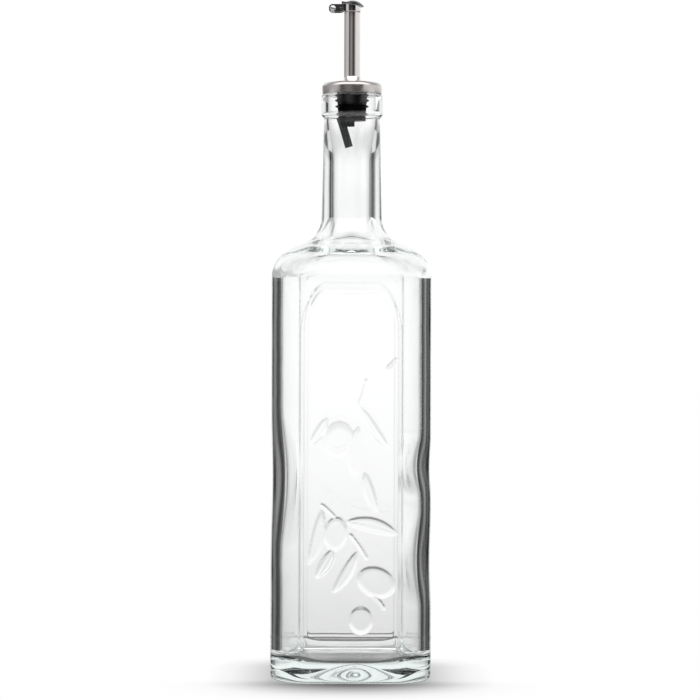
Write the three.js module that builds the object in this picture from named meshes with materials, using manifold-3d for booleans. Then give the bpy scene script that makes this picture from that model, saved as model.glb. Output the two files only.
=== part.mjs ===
// Glass oil cruet: a square one-litre bottle, and the hinged flap pourer that stands in its neck.
// Millimetres, +Z up. The origin is the middle of the plane the bottle stands on, and Z is its axis.
// The face with the olive branch looks along -Y, and the pourer's lid opens towards -X.

import * as THREE from 'three';
import { mergeVertices } from 'three/addons/utils/BufferGeometryUtils.js';
import Module from 'manifold-3d';

// Driving dimensions: general
const GAP = 0.3;                    // clearance between pieces that touch
const ROUND_STEPS = 32;             // sides of a round piece
const STOPPER_STEPS = 24;           // sides of the finned stopper

// Driving dimensions: body of the bottle
const BODY_HALF = 39.2;             // half width of the square body
const BODY_CORNER = 12;             // corner radius of its section
const HEEL_WIDTH = 2.5;             // how far the rounded heel runs in under the flat sides
const HEEL_HEIGHT = 3;              // height of the heel there; it grows with its width at the corners
const HEEL_TOP = 8;                 // the section is straight from here up
const RIM_CORNER = 17;              // corner radius of the rim, wider than the body's
const RIM_WIDTH = 1.4;              // flat rim that the bottle stands on
const PUSH_UP = 6.5;                // height of the hollow under the base
const PUSH_UP_BELL = 0.82;          // share of the rim's half width that the bell of the hollow takes
const PUSH_UP_SKIRT = 0.2;          // share of the height that falls evenly out to the rim
const PUSH_UP_SHIFT = 3;            // how far the top of the hollow lies to the right
const WALL = 3.6;                   // glass thickness of the sides
const FLOOR = 9.3;                  // height of the inner floor at its edge
const FLOOR_RISE = 1;               // and how much higher its middle is
const FLOOR_FILLET = 4.3;           // rounding between inner floor and side
const FLOOR_CORNER_SHARE = 0.85;    // corner radius of the inner floor, as a share of its half width
const INNER_CORNER = 15;            // corner radius of the inner section
const GRIP_BAND_FROM = 28;          // sections lie closer together over the height of the grips
const GRIP_BAND_TO = 140;

// Driving dimensions: shoulder, neck and finish
const SHOULDER_START = 197;         // height at which the side begins to turn in
const SHOULDER_RADIUS = 17;         // rounding from the side to the slope
const SHOULDER_TURN = THREE.MathUtils.degToRad(65);  // angle turned through
const NECK_FILLET = 14;             // rounding from the slope to the neck
const NECK_FOOT_RADIUS = 15.1;      // neck radius above that rounding
const NECK_TOP_RADIUS = 14;         // neck radius under the ring
const ROUND_FROM = 197;             // the section starts to turn from square to round here
const ROUND_TO = 219;               // and is fully round here
const RING_RADIUS = 15.35;          // thick ring at the mouth
const RING_BOTTOM = 278;
const RING_EDGE = 1.8;              // height of the rounding at the ring's lower edge
const RING_STEP = 0.4;              // small step from the neck out to the ring
const MOUTH_EDGE = 0.7;             // easing of the mouth's two edges
const MOUTH_Z = 289;                // top of the glass
const INNER_SHOULDER_START = 196.5;
const INNER_SHOULDER_RADIUS = 12.5;
const INNER_NECK_FILLET = 18;
const BORE_RADIUS = 9.5;            // bore of the neck
const MOUTH_BORE_RADIUS = 11.9;     // bore at the mouth
const BORE_FLARE_FROM = 254;        // the bore opens from here
const BORE_FLARE_TO = 277;          // to here

// Driving dimensions: finger grips pressed into the two side faces
const GRIPS = [
  { side: -1, z: 99, half: 36, depth: 3.2 },
  { side: 1, z: 105, half: 16, depth: 3.0 },
  { side: 1, z: 60, half: 25, depth: 2.8 },
];
const GRIP_FLAT = 10;               // half width of a grip's full depth
const GRIP_EDGE = 0.22;             // share of the depth left where the flat meets the corner
const GRIP_FADE = 8;                // and over this width of the corner it fades out

// Driving dimensions: panels sunk in the front and back faces, both with an arched top
const PANEL_HALF = 23.4;
const PANEL_BOTTOM = 14.5;
const PANEL_TOP = 193.6;
const PANEL_DEPTH = 0.55;
const PANEL_BEVEL = 1.5;
const BACK_DEPTH = 1;
const BACK_BEVEL = 3;
const PANEL_FOOT_CORNER = 3;
const PANEL_ARCH_WIDTH = 11.5;      // horizontal radius of the arched corners
const PANEL_ARCH_HEIGHT = 24;       // vertical radius of the arched corners

// Driving dimensions: olive branch on the panel, places on the face as x and z
const RELIEF_ROOT = 0.6;            // how deep a raised form reaches into the glass
const RELIEF_SIDE = 0.7;            // share of its height that a raised form has at the top of its side
const RELIEF_TOP = 0.95;            // and at the ring round its middle
const RELIEF_TOP_SIZE = 0.55;       // size of that ring as a share of the one outside it
const OLIVE = { height: 0.53, edge: 0.82, steps: 18, point: 0 };
const LEAF = { height: 0.5, edge: 0.72, steps: 14, point: 0.4 };
const STEM = { height: 0.42, edge: 0.75, steps: 14, point: 0.4 };
const OLIVES = [
  { x: -7.4, z: 72.8, long: 8.2, short: 5.6, tilt: 84 },
  { x: 12.4, z: 49.4, long: 9.5, short: 7.2, tilt: -22 },
  { x: -6.2, z: 117.6, long: 9.6, short: 7.6, tilt: 80 },
  { x: 5.0, z: 30.9, long: 6.6, short: 5.7, tilt: 90 },
];
const LEAVES = [
  { from: [-14.0, 84.2], to: [-20.2, 58.0], width: 6.0 },
  { from: [-8.2, 65.6], to: [-16.6, 51.4], width: 5.6 },
  { from: [2.8, 63.9], to: [-8.3, 44.6], width: 5.4 },
  { from: [-1.9, 78.6], to: [22.4, 72.8], width: 7.0 },
  { from: [3.6, 124.6], to: [2.0, 99.6], width: 6.4 },
  { from: [-11.4, 128.8], to: [-19.4, 116.0], width: 5.0 },
  { from: [5.2, 133.6], to: [17.8, 114.6], width: 4.6 },
  { from: [6.6, 102.4], to: [12.6, 83.4], width: 5.2 },
];
const STEMS = [
  { from: [-14.4, 87.0], to: [-7.6, 80.6], width: 1.3 },
  { from: [-0.6, 72.8], to: [8.0, 60.4], width: 1.3 },
  { from: [7.4, 148.0], to: [3.4, 134.8], width: 1.3 },
  { from: [22.0, 157.6], to: [17.4, 152.8], width: 1.8 },
  { from: [11.2, 42.4], to: [16.4, 36.2], width: 1.5 },
];

// Driving dimensions: stopper and breather
const STOPPER_RADIUS = 7.6;         // core at its top
const STOPPER_LOW_RADIUS = 6.9;     // and at its foot
const STOPPER_BOTTOM = 275.7;
const STOPPER_STEP = 279.6;         // height at which the core begins to widen, and the tube's socket ends
const FIN_HEIGHTS = [283.2, 286.2];
const FIN_ROOT = 1.4;               // height of a sealing rib where it leaves the core
const FIN_TIP = 0.3;
const FIN_REACH = 1.2;              // how far the ribs stand out
const FLANGE_RADIUS = 8.4;
const FLANGE_THICKNESS = 0.6;       // flange at the stopper's top, under the cap
const CHANNEL_RADIUS = 1.3;         // oil channel below the steel tube
const STUB_X = -0.9;                // inlet stub under the stopper
const STUB_RADIUS = 2.2;
const STUB_TAPER = 0.4;             // how much narrower the stub is at its lower end
const STUB_BOTTOM = 272.5;
const STUB_TOP = 276.1;
const CHANNEL_X = -0.36;
const CHANNEL_BOTTOM = 271.7;       // the cutter for the channel starts below the stub
const CHANNEL_TOP = 279.7;          // and ends inside the tube's socket
const BREATHER_RADIUS = 1.95;
const BREATHER_BORE = 1;
const BREATHER_TOP = [-5.9, -1.7, 277.8];
const BREATHER_TIP = [-1.4, -1.7, 262.1];

// Driving dimensions: steel cap, tube and collar
const CAP_RADIUS = 14.9;
const CAP_BOTTOM = 289.3;
const CAP_EDGE_Z = 295;             // top of the cap's rounded edge
const CAP_EDGE = 2;
const CAP_CROWN_Z = 295.7;          // top of the low dome, at the tube
const CAP_CROWN_RISE = 0.75;        // share of the dome's rise that is reached half way in
const TUBE_RADIUS = 4.03;
const TUBE_BORE = 3.1;
const TUBE_FOOT_RADIUS = 4.8;       // flare at the tube's foot
const TUBE_FOOT_HEIGHT = 2.4;
const TUBE_FOOT_STEPS = 3;
const TUBE_NECK_RADIUS = 3.5;       // turned down under the collar
const TUBE_NECK_Z = 330.4;
const MOUTH_SLOPE = THREE.MathUtils.degToRad(10);
const RIM_Z = 333.85;               // height of the slanted rim on the axis
const CUT_RISE = 3;                 // tube and collar are made this much taller, then cut to the slant
const CUT_BLOCK = { x: 20, y: 10, z: 12 };  // half length, half width and height of what is cut away
const COLLAR_INNER = 3.8;
const COLLAR_OUTER = 4.25;
const COLLAR_BOTTOM = 330.7;

// Driving dimensions: hinge, flap and counterweight
const HINGE_X = -5.6;
const HINGE_Z = 332;
const PIN_RADIUS = 0.5;
const PIN_HALF = 2.9;
const PIN_STEPS = 12;
const EAR_RADIUS = 1.15;
const EAR_INSIDE = 1.3;             // the two ears lie between these distances from the middle
const EAR_OUTSIDE = 1.9;
const EAR_ROOT_X = -3.7;            // the ears reach this far into the collar
const CHEEK_INSIDE = 2.2;
const CHEEK_OUTSIDE = 2.8;
const CHEEK_TOP = 334.3;
const CHEEK_RADIUS = 1.45;          // lower edge of the lever, round about the pin
const CHEEK_REACH = 1.6;            // how far the lever runs past the pin towards the tube
const CHEEK_NOTCH = 0.8;            // height above the pin at which its lower edge gets there
const LEVER_END_X = -11.7;
const WEB_THICKNESS = 0.6;          // top plate of the lever
const WEB_START = 2;                // distance of the top plate from the lever's round end
const RISE_WIDTH = 0.55;            // upright strip that joins the top plate to the lid's tab
const RISE_FROM = -0.3;             // its two ends, from the top of the lever
const RISE_TO = 1.15;
const TAB_FROM = -5.45;             // tab of the lid, along the slant
const TAB_TO = -1.6;
const LID_X = 0.85;                 // middle of the lid
const LID_RADIUS = 4.9;
const LID_THICKNESS = 0.45;
const LID_CROWN = 1.9;
const LID_GAP = 0.35;
const LID_HOLLOW = 0.27;            // height of the hollow below the lid
const LID_LIP = 0.9;                // width of the flat lip round the hollow
const LID_EDGE = 0.3;               // width of the edge outside the dome
const LID_STEPS = 28;
const WEIGHT_X = -9.7;
const WEIGHT_Z = 332.25;
const WEIGHT_RADIUS = 1.35;
const WEIGHT_HALF = 3.2;            // to the middle of its domed ends
const WEIGHT_DOME = 0.45;
const WEIGHT_STEPS = 16;
const SLOT_WIDTH = 0.6;
const SLOT_DEPTH = 0.4;
const SLOT_TURN = THREE.MathUtils.degToRad(12);

// Materials
const glassMaterial = new THREE.MeshStandardMaterial({ color: 0xdfe8e4, roughness: 0.05, metalness: 0 });
const rubberMaterial = new THREE.MeshStandardMaterial({ color: 0x101011, roughness: 0.5, metalness: 0 });
const tubeMaterial = new THREE.MeshStandardMaterial({ color: 0x39403e, roughness: 0.4, metalness: 0 });
const satinMaterial = new THREE.MeshStandardMaterial({ color: 0xb4b1b0, roughness: 0.35, metalness: 1 });
const polishedMaterial = new THREE.MeshStandardMaterial({ color: 0xc9c4c5, roughness: 0.12, metalness: 1 });
const darkSteelMaterial = new THREE.MeshStandardMaterial({ color: 0x55504f, roughness: 0.18, metalness: 1 });

const wasm = await Module();
wasm.setup();

const cruet = new THREE.Group();

function toSolid(geometry) {
  const plain = geometry.clone();
  plain.deleteAttribute('normal');
  plain.deleteAttribute('uv');
  const merged = mergeVertices(plain, 1e-4);
  return new wasm.Manifold(new wasm.Mesh({
    numProp: 3,
    vertProperties: new Float32Array(merged.attributes.position.array),
    triVerts: new Uint32Array(merged.index.array),
  }));
}

function toGeometry(solid) {
  const mesh = solid.getMesh();
  const geometry = new THREE.BufferGeometry();
  geometry.setAttribute('position', new THREE.BufferAttribute(mesh.vertProperties, 3));
  geometry.setIndex(new THREE.BufferAttribute(mesh.triVerts, 1));
  geometry.computeVertexNormals();
  return geometry;
}

function addPiece(name, geometry, material) {
  const mesh = new THREE.Mesh(geometry, material);
  mesh.name = name;
  cruet.add(mesh);
}

function smooth(t) {
  const clamped = Math.min(Math.max(t, 0), 1);
  return clamped * clamped * (3 - 2 * clamped);
}

function mix(a, b, t) {
  return a + (b - a) * t;
}

// Closed body from rows of points: the first and last rows close on one point each.
function closedLoft(rows, first, last) {
  const columns = rows[0].length;
  const positions = [...first];
  rows.forEach((row) => row.forEach((point) => positions.push(...point)));
  positions.push(...last);
  const lastIndex = rows.length * columns + 1;
  const at = (row, column) => 1 + row * columns + (column % columns);
  const index = [];
  for (let j = 0; j < columns; j += 1) {
    index.push(0, at(0, j + 1), at(0, j));
    for (let i = 0; i < rows.length - 1; i += 1) {
      index.push(at(i, j), at(i, j + 1), at(i + 1, j + 1));
      index.push(at(i, j), at(i + 1, j + 1), at(i + 1, j));
    }
    index.push(at(rows.length - 1, j), at(rows.length - 1, j + 1), lastIndex);
  }
  const geometry = new THREE.BufferGeometry();
  geometry.setAttribute('position', new THREE.Float32BufferAttribute(positions, 3));
  geometry.setIndex(index);
  return geometry;
}

function boxBetween(low, high) {
  const size = high.map((value, axis) => value - low[axis]);
  const geometry = new THREE.BoxGeometry(...size);
  geometry.translate(...high.map((value, axis) => (value + low[axis]) / 2));
  return geometry;
}

// Lathe body about Z, from (radius, height) pairs that close on themselves or end on the axis.
function latheBody(profile, steps = ROUND_STEPS) {
  const points = profile.map(([radius, height]) => new THREE.Vector2(radius, height));
  const geometry = new THREE.LatheGeometry(points, steps);
  geometry.rotateX(Math.PI / 2);
  return geometry;
}

// Plate cut to a shape drawn in x and z, and lying between two values of y.
function plateBetween(shape, lowY, highY, curveSegments = 8) {
  const options = { depth: highY - lowY, bevelEnabled: false, curveSegments };
  const geometry = new THREE.ExtrudeGeometry(shape, options);
  geometry.rotateX(Math.PI / 2);
  geometry.translate(0, highY, 0);
  return geometry;
}

function cylinderAlongY(radius, lowY, highY, x, z, steps) {
  const geometry = new THREE.CylinderGeometry(radius, radius, highY - lowY, steps);
  geometry.translate(x, (lowY + highY) / 2, z);
  return geometry;
}

// Distance from the axis to the edge of a rounded square, in the direction of an angle.
function squareRadius(half, corner, angle) {
  const cosine = Math.abs(Math.cos(angle));
  const sine = Math.abs(Math.sin(angle));
  const long = Math.max(cosine, sine);
  const short = Math.min(cosine, sine);
  const flat = half - corner;
  if (half * short <= flat * long) return half / long;
  const along = flat * (long + short);
  return along + Math.sqrt(along * along - 2 * flat * flat + corner * corner);
}

// Angles of the body's columns: wide steps over the flats and close ones round the corners.
function columnAngles(flatSteps, cornerSteps) {
  const edge = Math.atan2(BODY_HALF - BODY_CORNER, BODY_HALF);
  const angles = [];
  for (let quarter = 0; quarter < 4; quarter += 1) {
    const start = quarter * Math.PI / 2;
    for (let i = 0; i < flatSteps; i += 1) angles.push(start + edge * i / flatSteps);
    const corner = Math.PI / 2 - 2 * edge;
    for (let i = 0; i < cornerSteps; i += 1) angles.push(start + edge + corner * i / cornerSteps);
    const second = start + Math.PI / 2 - edge;
    for (let i = 0; i < flatSteps; i += 1) angles.push(second + edge * i / flatSteps);
  }
  return angles;
}

const COLUMNS = columnAngles(3, 6);

// Depth of the grips at a place on a side face.
function gripDepth(side, y, z) {
  const flat = BODY_HALF - BODY_CORNER;
  const inside = mix(1, GRIP_EDGE, smooth((Math.abs(y) - GRIP_FLAT) / (flat - GRIP_FLAT)));
  const across = inside * (1 - smooth((Math.abs(y) - flat) / GRIP_FADE));
  let depth = 0;
  for (const grip of GRIPS) {
    const along = Math.abs(z - grip.z) / grip.half;
    if (grip.side === side && along < 1) depth += grip.depth * Math.cos(along * Math.PI / 2) ** 2;
  }
  return depth * across;
}

function sectionRow(half, corner, z) {
  return COLUMNS.map((angle) => {
    const radius = squareRadius(half, corner, angle);
    const x = radius * Math.cos(angle);
    const y = radius * Math.sin(angle);
    return [x - Math.sign(x) * gripDepth(Math.sign(x), y, z), y, z];
  });
}

// Share of the half width that the corner radius takes, from the square body to the round neck.
function roundness(z, bodyShare) {
  return mix(bodyShare, 1, smooth((z - ROUND_FROM) / (ROUND_TO - ROUND_FROM)));
}

// Rows of a shoulder: side rounding, slope and neck rounding, from the bottom up.
function shoulderRows(half, start, radius, fillet, neck, share, steps) {
  const rows = [];
  const add = (width, z) => rows.push(sectionRow(width, width * roundness(z, share), z));
  for (let i = 0; i <= steps; i += 1) {
    const turn = SHOULDER_TURN * i / steps;
    add(half - radius * (1 - Math.cos(turn)), start + radius * Math.sin(turn));
  }
  const slope = 1 / Math.tan(SHOULDER_TURN);
  const slopeHalf = half - radius * (1 - Math.cos(SHOULDER_TURN));
  const slopeZ = start + radius * Math.sin(SHOULDER_TURN);
  const filletHalf = neck + fillet * (1 - Math.cos(SHOULDER_TURN));
  const filletZ = slopeZ + slope * (slopeHalf - filletHalf);
  const neckZ = filletZ + fillet * Math.sin(SHOULDER_TURN);
  add((slopeHalf + filletHalf) / 2, (slopeZ + filletZ) / 2);
  for (let i = 0; i <= steps; i += 1) {
    const turn = SHOULDER_TURN * (1 - i / steps);
    add(neck + fillet * (1 - Math.cos(turn)), neckZ - fillet * Math.sin(turn));
  }
  return rows;
}

// Hollow under the base: a bell with a shallow even skirt, as a share of its height.
function pushUpShape(share) {
  const bell = (1 + Math.cos(Math.PI * Math.min(share / PUSH_UP_BELL, 1))) / 2;
  return mix(bell, 1 - share, PUSH_UP_SKIRT);
}

// Rows of the hollow under the base, from near its top out to the rim.
function pushUpRows(rimInner, rimShare, steps) {
  const rows = [];
  for (let i = 1; i < steps; i += 1) {
    const reach = i / steps;
    const half = rimInner * reach;
    const row = sectionRow(half, half * mix(1, rimShare, reach ** 3), PUSH_UP * pushUpShape(reach));
    rows.push(row.map(([x, y, z]) => [x + PUSH_UP_SHIFT * (1 - reach), y, z]));
  }
  rows.push(sectionRow(rimInner, rimInner * rimShare, 0));
  return rows;
}

// Rows of the heel: small on the flats, and growing with its width at the corners.
function heelRows(rimOuter, steps) {
  const rim = sectionRow(rimOuter, RIM_CORNER, 0);
  const side = sectionRow(BODY_HALF, BODY_CORNER, 0);
  const rows = [rim];
  for (let i = 1; i <= steps; i += 1) {
    const turn = Math.PI / 2 * i / steps;
    rows.push(rim.map(([x, y], column) => {
      const [sideX, sideY] = side[column];
      const height = HEEL_HEIGHT / HEEL_WIDTH * Math.hypot(sideX - x, sideY - y);
      return [mix(x, sideX, Math.sin(turn)), mix(y, sideY, Math.sin(turn)), height * (1 - Math.cos(turn))];
    }));
  }
  return rows;
}

// Rows of the ring and the mouth, down to the start of the bore's flare.
function mouthRows() {
  const rows = [];
  const add = (radius, z) => rows.push(sectionRow(radius, radius, z));
  add(NECK_TOP_RADIUS, RING_BOTTOM - RING_STEP);
  add(NECK_TOP_RADIUS + RING_STEP, RING_BOTTOM);
  for (let i = 1; i <= 3; i += 1) {
    const turn = Math.PI / 2 * i / 3;
    add(RING_RADIUS - RING_EDGE * (1 - Math.sin(turn)) / 2, RING_BOTTOM + RING_EDGE * (1 - Math.cos(turn)));
  }
  add(RING_RADIUS, MOUTH_Z - MOUTH_EDGE);
  add(RING_RADIUS - MOUTH_EDGE, MOUTH_Z);
  add(MOUTH_BORE_RADIUS + MOUTH_EDGE, MOUTH_Z);
  add(MOUTH_BORE_RADIUS, MOUTH_Z - MOUTH_EDGE);
  for (let i = 0; i <= 4; i += 1) {
    add(mix(MOUTH_BORE_RADIUS, BORE_RADIUS, smooth(i / 4)), mix(BORE_FLARE_TO, BORE_FLARE_FROM, i / 4));
  }
  return rows;
}

// Rows of the rounding into the inner floor, and of the floor, which rises a little to its middle.
function floorRows(innerHalf, innerShare, steps) {
  const rows = [];
  const floorHalf = innerHalf - FLOOR_FILLET;
  for (let i = 0; i <= steps; i += 1) {
    const turn = Math.PI / 2 * i / steps;
    const half = innerHalf - FLOOR_FILLET * (1 - Math.cos(turn));
    const share = mix(innerShare, FLOOR_CORNER_SHARE, i / steps);
    rows.push(sectionRow(half, half * share, FLOOR + FLOOR_FILLET * (1 - Math.sin(turn))));
  }
  rows.push(sectionRow(floorHalf / 2, floorHalf / 2, FLOOR + FLOOR_RISE / 2));
  return rows;
}

function bottleShell() {
  const share = BODY_CORNER / BODY_HALF;
  const innerHalf = BODY_HALF - WALL;
  const innerShare = INNER_CORNER / innerHalf;
  const rimOuter = BODY_HALF - HEEL_WIDTH;
  const straight = (half, corner, from, to, steps) => Array.from({ length: steps }, (_, i) => (
    sectionRow(half, corner, mix(from, to, i / steps))
  ));
  const rows = [
    ...pushUpRows(rimOuter - RIM_WIDTH, RIM_CORNER / rimOuter, 6),
    ...heelRows(rimOuter, 3),
    ...straight(BODY_HALF, BODY_CORNER, HEEL_TOP, GRIP_BAND_FROM, 2),
    ...straight(BODY_HALF, BODY_CORNER, GRIP_BAND_FROM, GRIP_BAND_TO, 15),
    ...straight(BODY_HALF, BODY_CORNER, GRIP_BAND_TO, SHOULDER_START, 2),
    ...shoulderRows(BODY_HALF, SHOULDER_START, SHOULDER_RADIUS, NECK_FILLET, NECK_FOOT_RADIUS, share, 5),
    ...mouthRows(),
    ...shoulderRows(innerHalf, INNER_SHOULDER_START, INNER_SHOULDER_RADIUS,
      INNER_NECK_FILLET, BORE_RADIUS, innerShare, 4).reverse(),
    ...straight(innerHalf, INNER_CORNER, GRIP_BAND_TO, GRIP_BAND_FROM, 11),
    ...floorRows(innerHalf, innerShare, 3),
  ];
  return closedLoft(rows, [PUSH_UP_SHIFT, 0, PUSH_UP], [0, 0, FLOOR + FLOOR_RISE]);
}

// Outline of the sunk panel, grown or shrunk all round, as x and z.
function panelOutline(grow) {
  const half = PANEL_HALF + grow;
  const low = PANEL_BOTTOM - grow;
  const high = PANEL_TOP + grow;
  const foot = PANEL_FOOT_CORNER + grow;
  const archX = PANEL_ARCH_WIDTH + grow;
  const archZ = PANEL_ARCH_HEIGHT + grow;
  const corners = [
    { x: half - foot, z: low + foot, rx: foot, rz: foot, start: -Math.PI / 2, steps: 3 },
    { x: half - archX, z: high - archZ, rx: archX, rz: archZ, start: 0, steps: 8 },
    { x: archX - half, z: high - archZ, rx: archX, rz: archZ, start: Math.PI / 2, steps: 8 },
    { x: foot - half, z: low + foot, rx: foot, rz: foot, start: Math.PI, steps: 3 },
  ];
  return corners.flatMap(({ x, z, rx, rz, start, steps }) => {
    const points = [];
    for (let i = 0; i <= steps; i += 1) {
      const angle = start + Math.PI / 2 * i / steps;
      points.push([x + rx * Math.cos(angle), z + rz * Math.sin(angle)]);
    }
    return points;
  });
}

// What a panel takes from the front face. The middle of its bevel follows the outline.
function panelCutter(depth, bevel) {
  const middle = (PANEL_BOTTOM + PANEL_TOP) / 2;
  const outside = -BODY_HALF - depth;
  const inside = -BODY_HALF + depth;
  const outer = panelOutline(1.5 * bevel).map(([x, z]) => [x, outside, z]);
  const inner = panelOutline(-0.5 * bevel).map(([x, z]) => [x, inside, z]);
  return closedLoft([inner, outer], [0, inside, middle], [0, outside, middle]);
}

// Raised form on the panel: rings that follow one outline and rise towards its middle.
function reliefPad(outline, { height, edge }) {
  const floor = -BODY_HALF + PANEL_DEPTH;
  const ring = (scale, y) => outline(scale).map(([x, z]) => [x, y, z]);
  const rows = [
    ring(1, floor + RELIEF_ROOT),
    ring(1, floor),
    ring(edge, floor - height * RELIEF_SIDE),
    ring(edge * RELIEF_TOP_SIZE, floor - height * RELIEF_TOP),
  ];
  const [x, z] = outline(0)[0];
  return closedLoft(rows, [x, floor + RELIEF_ROOT, z], [x, floor - height, z]);
}

// Outline round a middle, turned by an angle: an ellipse, or pointed at both ends.
function turnedOutline(middle, long, short, turn, { steps, point }) {
  return (scale) => Array.from({ length: steps }, (_, i) => {
    const angle = 2 * Math.PI * i / steps;
    const u = scale * long * Math.cos(angle);
    const v = scale * short * Math.sin(angle) * Math.abs(Math.sin(angle)) ** point;
    return [middle[0] + u * Math.cos(turn) - v * Math.sin(turn),
      middle[1] + u * Math.sin(turn) + v * Math.cos(turn)];
  });
}

function olivePad({ x, z, long, short, tilt }) {
  return reliefPad(turnedOutline([x, z], long, short, THREE.MathUtils.degToRad(tilt), OLIVE), OLIVE);
}

// Pad of a leaf or a stem, from one tip to the other.
function leafPad({ from, to, width }, form) {
  const middle = [(from[0] + to[0]) / 2, (from[1] + to[1]) / 2];
  const half = Math.hypot(to[0] - from[0], to[1] - from[1]) / 2;
  const turn = Math.atan2(to[1] - from[1], to[0] - from[0]);
  return reliefPad(turnedOutline(middle, half, width / 2, turn, form), form);
}

function makeBottle() {
  const backPanel = panelCutter(BACK_DEPTH, BACK_BEVEL);
  backPanel.rotateZ(Math.PI);
  let bottle = toSolid(bottleShell()).subtract(toSolid(panelCutter(PANEL_DEPTH, PANEL_BEVEL)))
    .subtract(toSolid(backPanel));
  const pads = [...OLIVES.map(olivePad), ...LEAVES.map((leaf) => leafPad(leaf, LEAF)),
    ...STEMS.map((stem) => leafPad(stem, STEM))];
  for (const pad of pads) bottle = bottle.add(toSolid(pad));
  addPiece('bottle', toGeometry(bottle), glassMaterial);
}

function cylinderAlongZ(topRadius, bottomRadius, x, low, high, steps = 16) {
  const geometry = new THREE.CylinderGeometry(topRadius, bottomRadius, high - low, steps);
  geometry.rotateX(Math.PI / 2);
  geometry.translate(x, 0, (low + high) / 2);
  return geometry;
}

function makeStopper() {
  const socket = TUBE_RADIUS + GAP;
  const profile = [[CHANNEL_RADIUS, STOPPER_BOTTOM], [STOPPER_LOW_RADIUS, STOPPER_BOTTOM],
    [STOPPER_LOW_RADIUS, STOPPER_STEP]];
  for (const z of FIN_HEIGHTS) {
    const radius = mix(STOPPER_LOW_RADIUS, STOPPER_RADIUS, (z - STOPPER_STEP) / (MOUTH_Z - STOPPER_STEP));
    profile.push([radius, z - FIN_ROOT / 2], [radius + FIN_REACH, z - FIN_TIP / 2],
      [radius + FIN_REACH, z + FIN_TIP / 2], [radius, z + FIN_ROOT / 2]);
  }
  profile.push([STOPPER_RADIUS, MOUTH_Z - FLANGE_THICKNESS], [FLANGE_RADIUS, MOUTH_Z - FLANGE_THICKNESS],
    [FLANGE_RADIUS, MOUTH_Z], [socket, MOUTH_Z], [socket, STOPPER_STEP],
    [CHANNEL_RADIUS, STOPPER_STEP], [CHANNEL_RADIUS, STOPPER_BOTTOM]);
  const stub = cylinderAlongZ(STUB_RADIUS, STUB_RADIUS - STUB_TAPER, STUB_X, STUB_BOTTOM, STUB_TOP);
  const channel = cylinderAlongZ(CHANNEL_RADIUS, CHANNEL_RADIUS, CHANNEL_X, CHANNEL_BOTTOM, CHANNEL_TOP);
  const socketHole = breatherRod(BREATHER_RADIUS + GAP, GAP);
  const stopper = toSolid(latheBody(profile, STOPPER_STEPS)).add(toSolid(stub)).subtract(toSolid(channel))
    .subtract(toSolid(socketHole));
  addPiece('stopper', toGeometry(stopper), rubberMaterial);
}

// Straight rod along the breather's slanted axis, longer at both ends by the given amount.
function breatherRod(radius, extra) {
  const top = new THREE.Vector3(...BREATHER_TOP);
  const tip = new THREE.Vector3(...BREATHER_TIP);
  const along = top.clone().sub(tip);
  const length = along.length();
  along.normalize();
  const rod = new THREE.CylinderGeometry(radius, radius, length + 2 * extra, 16);
  rod.applyQuaternion(new THREE.Quaternion().setFromUnitVectors(new THREE.Vector3(0, 1, 0), along));
  const middle = top.clone().add(tip).multiplyScalar(0.5);
  rod.translate(middle.x, middle.y, middle.z);
  return rod;
}

function makeBreather() {
  const tube = toSolid(breatherRod(BREATHER_RADIUS, 0)).subtract(toSolid(breatherRod(BREATHER_BORE, 1)));
  addPiece('breather_tube', toGeometry(tube), tubeMaterial);
}

function makeCap() {
  const hole = TUBE_RADIUS + GAP;
  const profile = [[hole, CAP_BOTTOM], [CAP_RADIUS, CAP_BOTTOM]];
  for (let i = 0; i <= 4; i += 1) {
    const turn = Math.PI / 2 * i / 4;
    profile.push([CAP_RADIUS - CAP_EDGE * (1 - Math.cos(turn)),
      CAP_EDGE_Z - CAP_EDGE * (1 - Math.sin(turn))]);
  }
  profile.push([(CAP_RADIUS + hole) / 2, mix(CAP_EDGE_Z, CAP_CROWN_Z, CAP_CROWN_RISE)]);
  profile.push([hole, CAP_CROWN_Z], [hole, CAP_BOTTOM]);
  addPiece('spout_cap', latheBody(profile), satinMaterial);
}

// Block that takes away what stands above the slanted mouth.
function aboveMouth() {
  const block = boxBetween([-CUT_BLOCK.x, -CUT_BLOCK.y, 0], [CUT_BLOCK.x, CUT_BLOCK.y, CUT_BLOCK.z]);
  block.rotateY(MOUTH_SLOPE);
  block.translate(0, 0, RIM_Z);
  return block;
}

function makeTube() {
  const bottom = STOPPER_STEP + GAP;
  const footZ = CAP_CROWN_Z + GAP;
  const top = RIM_Z + CUT_RISE;
  const profile = [[TUBE_BORE, bottom], [TUBE_RADIUS, bottom], [TUBE_RADIUS, footZ]];
  for (let i = 0; i <= TUBE_FOOT_STEPS; i += 1) {
    const share = i / TUBE_FOOT_STEPS;
    profile.push([mix(TUBE_RADIUS, TUBE_FOOT_RADIUS, (1 - share) ** 2), footZ + TUBE_FOOT_HEIGHT * share]);
  }
  profile.push([TUBE_RADIUS, TUBE_NECK_Z], [TUBE_NECK_RADIUS, TUBE_NECK_Z],
    [TUBE_NECK_RADIUS, top], [TUBE_BORE, top], [TUBE_BORE, bottom]);
  const tube = toSolid(latheBody(profile)).subtract(toSolid(aboveMouth()));
  addPiece('spout_tube', toGeometry(tube), polishedMaterial);
}

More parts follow.
